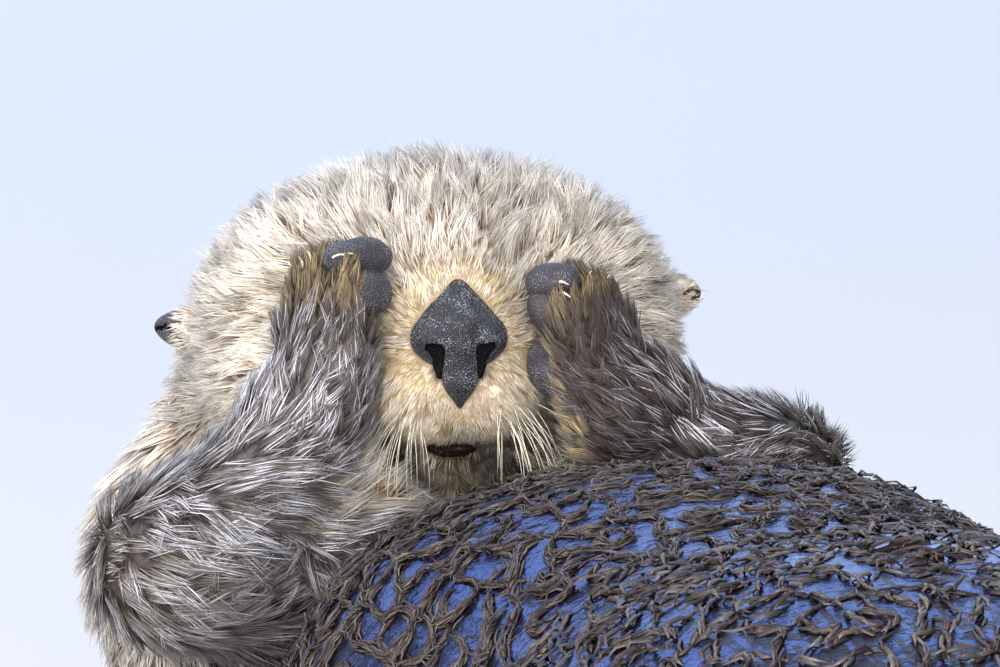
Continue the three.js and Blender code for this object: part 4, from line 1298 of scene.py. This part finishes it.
def growHorns(name, points, ways, hooks, reaches, finish, slot, replaced=(), **sizes):
    seeds = hornSeeds(name + "Roots", points, ways, hooks, reaches)
    growth = seeds.modifiers.new("growth", "NODES")
    growth.node_group = hornNodes
    for item in hornNodes.interface.items_tree:
        if item.in_out == "INPUT" and item.name in sizes:
            growth[item.identifier] = sizes[item.name]
        elif item.in_out == "INPUT" and item.name == "Finish":
            growth[item.identifier] = finish
    evaluated = seeds.evaluated_get(bpy.context.evaluated_depsgraph_get())
    mesh = bpy.data.meshes.new_from_object(evaluated)
    bpy.data.objects.remove(seeds)
    mesh.name = name
    mesh.shade_smooth()
    faceOut(mesh)
    mesh.materials.clear()
    piece = bpy.data.objects.new(name, mesh)
    bpy.context.scene.collection.objects.link(piece)
    settle(piece, finish, slot, *replaced)
    print("otter:", name, len(points), "horns", len(mesh.loop_triangles), "triangles")


def hornMaterial(name, base, tipColour, rough):
    material, tree, shader = newMaterial(name, Specular_IOR_Level=0.5)
    streaks = noise(tree, objectPlace(tree), 520.0, 3.0)
    feed(tree, shader, Base_Color=mixColour(tree, remap(tree, streaks, 0.3, 0.7), base, tipColour),
         Roughness=remap(tree, streaks, 0.3, 0.7, rough - 0.08, rough + 0.08),
         Normal=raised(tree, 0.2, 0.0002, streaks))
    return material


whiskerFinish = hornMaterial("whiskerFinish", (0.78, 0.70, 0.52, 1), (0.90, 0.86, 0.76, 1), 0.38)
clawFinish = hornMaterial("clawFinish", (0.46, 0.38, 0.28, 1), (0.80, 0.74, 0.62, 1), 0.35)

# Whiskers: rows on both whisker pads, longest at the corners of the mouth, drooping. Angles in degrees.
whisker = {"rows": 5, "perRow": 6, "short": 14, "long": 34, "turn": (4, 80), "dip": (-10, -54),
           "pad": mm(15, 16, 13.5) * 0.86, "droop": -0.35}
whiskerRng = np.random.default_rng(9)
roots, ways, reaches = [], [], []
for s in (1, -1):
    for row in range(whisker["rows"]):
        for n in range(whisker["perRow"]):
            back, low = n / (whisker["perRow"] - 1), row / (whisker["rows"] - 1)
            turn = math.radians(np.interp(back, (0, 1), whisker["turn"]) + whiskerRng.uniform(-6, 6))
            dip = math.radians(np.interp(low, (0, 1), whisker["dip"]) + whiskerRng.uniform(-5, 5))
            flat = math.cos(dip)
            out = np.array((s * math.sin(turn) * flat, -math.cos(turn) * flat, math.sin(dip)))
            root = muzzleMiddle + mm(s * 13, -58, -29) + out * whisker["pad"]
            way = unit(out * (1.0, 0.65, 1) + (0, 0, whisker["droop"]) + whiskerRng.normal(size=3) * 0.16)
            roots.append(fromHead(root))
            ways.append(headAxes @ way)
            reaches.append((whisker["short"] + (whisker["long"] - whisker["short"])
                            * (0.3 + 0.7 * back) * (0.4 + 0.6 * low) * whiskerRng.uniform(0.7, 1.2)) / 1000)
droop = np.tile((0.0, 0.0, -1.0), (len(roots), 1))
growHorns("whiskers", roots, ways, droop, reaches, whiskerFinish, "pale_fur",
          Thickness=0.0068, Bend=0.30, Taper=0.9, Steps=9, Sides=4)

# Claws: five small hooks on each forepaw and flipper.
claw = {"reach": 0.0042, "shape": {"Thickness": 0.15, "Bend": 0.45, "Taper": 0.9, "Steps": 7, "Sides": 8}}
toeClaw = {"reach": 0.0125, "shape": {"Thickness": 0.16, "Bend": 0.36, "Taper": 0.9, "Steps": 7, "Sides": 8}}


def nodesNamed(start, end):
    return [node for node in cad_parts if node.startswith(start) and node.endswith(end)]


for side, s in sides.items():
    arm = arms[side]
    axes = headAxes @ arm["axes"]
    roots = [fromHead(arm["wrist"]) + axes @ mm(*place) for place, way in arm["claws"]]
    ways = [axes @ unit(np.array(way)) for place, way in arm["claws"]]
    growHorns("claws_" + side, roots, ways, np.tile(-axes[:, 2], (5, 1)), [claw["reach"]] * 5, clawFinish,
              "horn", nodesNamed("claw_", side), **claw["shape"])
    axes = flipperAxes(s)
    tips = [bodyPlace + legPoint("ankle", s) + axes @ (toeWay(n, s) * (reach + 4) / 1000 + mm(0, 4.0, 0))
            for n, reach in enumerate(flipper["toes"])]
    growHorns("toe_claws_" + side, tips, [axes @ unit(toeWay(n, s) + (0, 0.25, 0)) for n in range(5)],
              np.tile(-axes[:, 1], (5, 1)), [toeClaw["reach"]] * 5, clawFinish, "horn",
              nodesNamed("toe_claw_", side), **toeClaw["shape"])

# Coat pieces, one or more for each part. Coat pieces, each kept under 200,000
# triangles.
headEnds = fromHead(mm(0, 60, -10)), fromHead(mm(0, -60, -10))
trunkEnds = fromBody(50, -700, 90), fromBody(30, 40, 90)
neckEnds = fromBody(0, 40, 60), fromBody(0, 60, 240)
tailEnds = fromBody(-16, -1040, 8), fromBody(30, -690, 20)
facePart = skinPart[skinFaces[:, 0]]
faceLow = (faceMiddle[:, 2] < 0.003) & (skinNormals[skinFaces[:, 0]][:, 2] < -0.7)
faceHead = (faceMiddle - headPlace) @ headAxes
headTurn = np.degrees(np.arctan2(faceHead[:, 0], faceHead[:, 2] + 0.020)) % 360
faceAside = faceMiddle[:, 0] - bodyPlace[0]


def growPart(name, part, area, axis, ball, slot, wet, coarse=1.0):
    chosen = (facePart == partNames.index(part)) & area & ~faceLow
    growCoat(name, hide, chosen, styleOf(part)[0], axis, ball, slot, wetFur if wet else dryFur,
             0.35 if wet else 0.6, coarse)


every = np.ones(len(faceMiddle), bool)
growPart("coat_muzzle", "muzzle", every, headEnds, True, "pale_fur", False)
for n, (low, high) in enumerate(((0, 75), (75, 150), (150, 210), (210, 285), (285, 360))):
    wedge = (headTurn >= low) & (headTurn < high)
    growPart("coat_head_%d" % (n + 1), "head", wedge, headEnds, True, "pale_fur", False)
growPart("coat_neck", "neck", every, neckEnds, False, "pale_fur", False)
for side, s in sides.items():
    arm = arms[side]
    armEnds = fromHead(arm["elbow"]), fromHead(arm["wrist"])
    growPart("coat_arm_" + side, "arm_" + side, every, armEnds, False, "grizzled_fur", False)
    growPart("coat_paw_" + side, "paw_" + side, every, armEnds, False, "grizzled_fur", False)
    legEnds = (legPoint("ankle", s) + bodyPlace, legPoint("knee", s) + bodyPlace)
    growPart("coat_leg_" + side, "leg_" + side, every, legEnds, False, "wet_fur", True)
    toeEnd = bodyPlace + legPoint("ankle", s) + flipperAxes(s)[:, 2] * 0.15
    growPart("coat_flipper_" + side, "flipper_" + side, every, (toeEnd, legEnds[0]), False, "wet_fur", True)
    earHide = earHides[side]
    furred = earHide["out"][earHide["faces"][:, 0]] < ear["furred"][side]
    growCoat("coat_ear_" + side, earHide, furred, styleOf("ear")[0], earHide["axis"], False, "pale_fur",
             dryFur, 0.6)
# The trunk's coat is finest on the upper chest, and coarser underneath and behind.
split = {"chest": -0.26, "rump": -0.505, "upper": 0.060, "aside": 0.02, "underneath": 1.5, "behind": 2.15}
chest, upper = faceAlong >= split["chest"], faceMiddle[:, 2] > split["upper"]
leftward, rump = faceAside >= split["aside"], faceAlong < split["rump"]
for n, (area, coarse) in enumerate((
        (chest & upper & ~leftward, 1.0), (chest & upper & leftward, 1.0),
        (chest & ~upper, split["underneath"]),
        (~chest & ~rump, split["behind"]), (rump, split["behind"]))):
    growPart("coat_trunk_%d" % (n + 1), "trunk", area, trunkEnds, False, "wet_fur", True, coarse)
growPart("coat_tail", "tail", every, tailEnds, False, "wet_fur", True)

# The eyes: dark and wet, deep under the paws.
eyeFinish, eyeTree, eyeShader = newMaterial("eyeFinish", Roughness=0.06, Specular_IOR_Level=0.6,
                                            Coat_Weight=0.6)
mottle = remap(eyeTree, noise(eyeTree, objectPlace(eyeTree), 700.0, 2.0), 0.3, 0.7)
feed(eyeTree, eyeShader, Base_Color=mixColour(eyeTree, mottle, (0.004, 0.003, 0.002, 1),
                                              (0.030, 0.014, 0.007, 1)))
for side, place in eyePlace.items():
    def eyeball(p, place=place):
        q = (p - place) @ headAxes
        return np.minimum(size(q) - 0.0079, size(q + (0, 0.0022, 0)) - 0.0062)
    solidPiece("eyeball_" + side, eyeball, place, 0.011, 0.0009, eyeFinish, "eye", "eye_" + side)

# Floor, light and camera.
stageLook = {"floor": (0.65, 0.61, 0.56, 1), "reach": 60, "sky": (0.86, 0.92, 1.0, 1), "skyStrength": 0.52}
floorFinish = newMaterial("floorFinish", Base_Color=stageLook["floor"], Roughness=0.7)[0]
floorCorners = np.array([(-1, -1, 0), (1, -1, 0), (1, 1, 0), (-1, 1, 0)]) * stageLook["reach"]
floor = meshPiece("floor", floorCorners, np.array([(0, 1, 2, 3)]), smooth=False)
floor.data.materials.append(floorFinish)
world = bpy.data.worlds.new("sky")
world.use_nodes = True
world.node_tree.nodes["Background"].inputs["Color"].default_value = stageLook["sky"]
world.node_tree.nodes["Background"].inputs["Strength"].default_value = stageLook["skyStrength"]
bpy.context.scene.world = world
bpy.context.scene.view_settings.view_transform = "Standard"  # colours as they are


def softLight(name, place, aim, wide, watts, colour):
    lamp = bpy.data.lights.new(name, "AREA")
    lamp.shape, lamp.size, lamp.size_y, lamp.energy, lamp.color = "RECTANGLE", wide, wide, watts, colour
    light = bpy.data.objects.new(name, lamp)
    light.location = place
    light.rotation_euler = (Vector(aim) - Vector(place)).to_track_quat("-Z", "Y").to_euler()
    bpy.context.scene.collection.objects.link(light)


middle = tuple(headPlace)
softLight("keyLight", (-0.9, -0.6, 2.4), middle, 1.1, 54, (1.0, 0.97, 0.92))
softLight("frontLight", (-1.0, -2.9, 1.1), middle, 1.8, 135, (1.0, 0.985, 0.95))
softLight("sideLight", (-3.0, -0.9, 0.9), middle, 1.6, 46, (1.0, 0.985, 0.96))
softLight("skyPanel", (0.2, 3.7, 2.3), middle, 5.0, 170, (0.42, 0.60, 1.0))

view = {"azimuth": math.radians(-18), "elevation": math.radians(10), "distance": 4.7, "lens": 480,
        "right": 0.0229, "up": -0.0083}
back = np.array((math.sin(view["azimuth"]) * math.cos(view["elevation"]),
                 -math.cos(view["azimuth"]) * math.cos(view["elevation"]), math.sin(view["elevation"])))
right = unit(np.cross((0, 0, 1), back))
upward = np.cross(back, right)
aim = headPlace + view["right"] * right + view["up"] * upward
camera = bpy.data.objects.new("camera", bpy.data.cameras.new("camera"))
camera.data.lens, camera.data.sensor_width = view["lens"], 36
camera.data.clip_start, camera.data.clip_end = 0.1, 200
camera.location = aim + view["distance"] * back
camera.rotation_euler = Vector(-back).to_track_quat("-Z", "Y").to_euler()
bpy.context.scene.collection.objects.link(camera)
bpy.context.scene.camera = camera
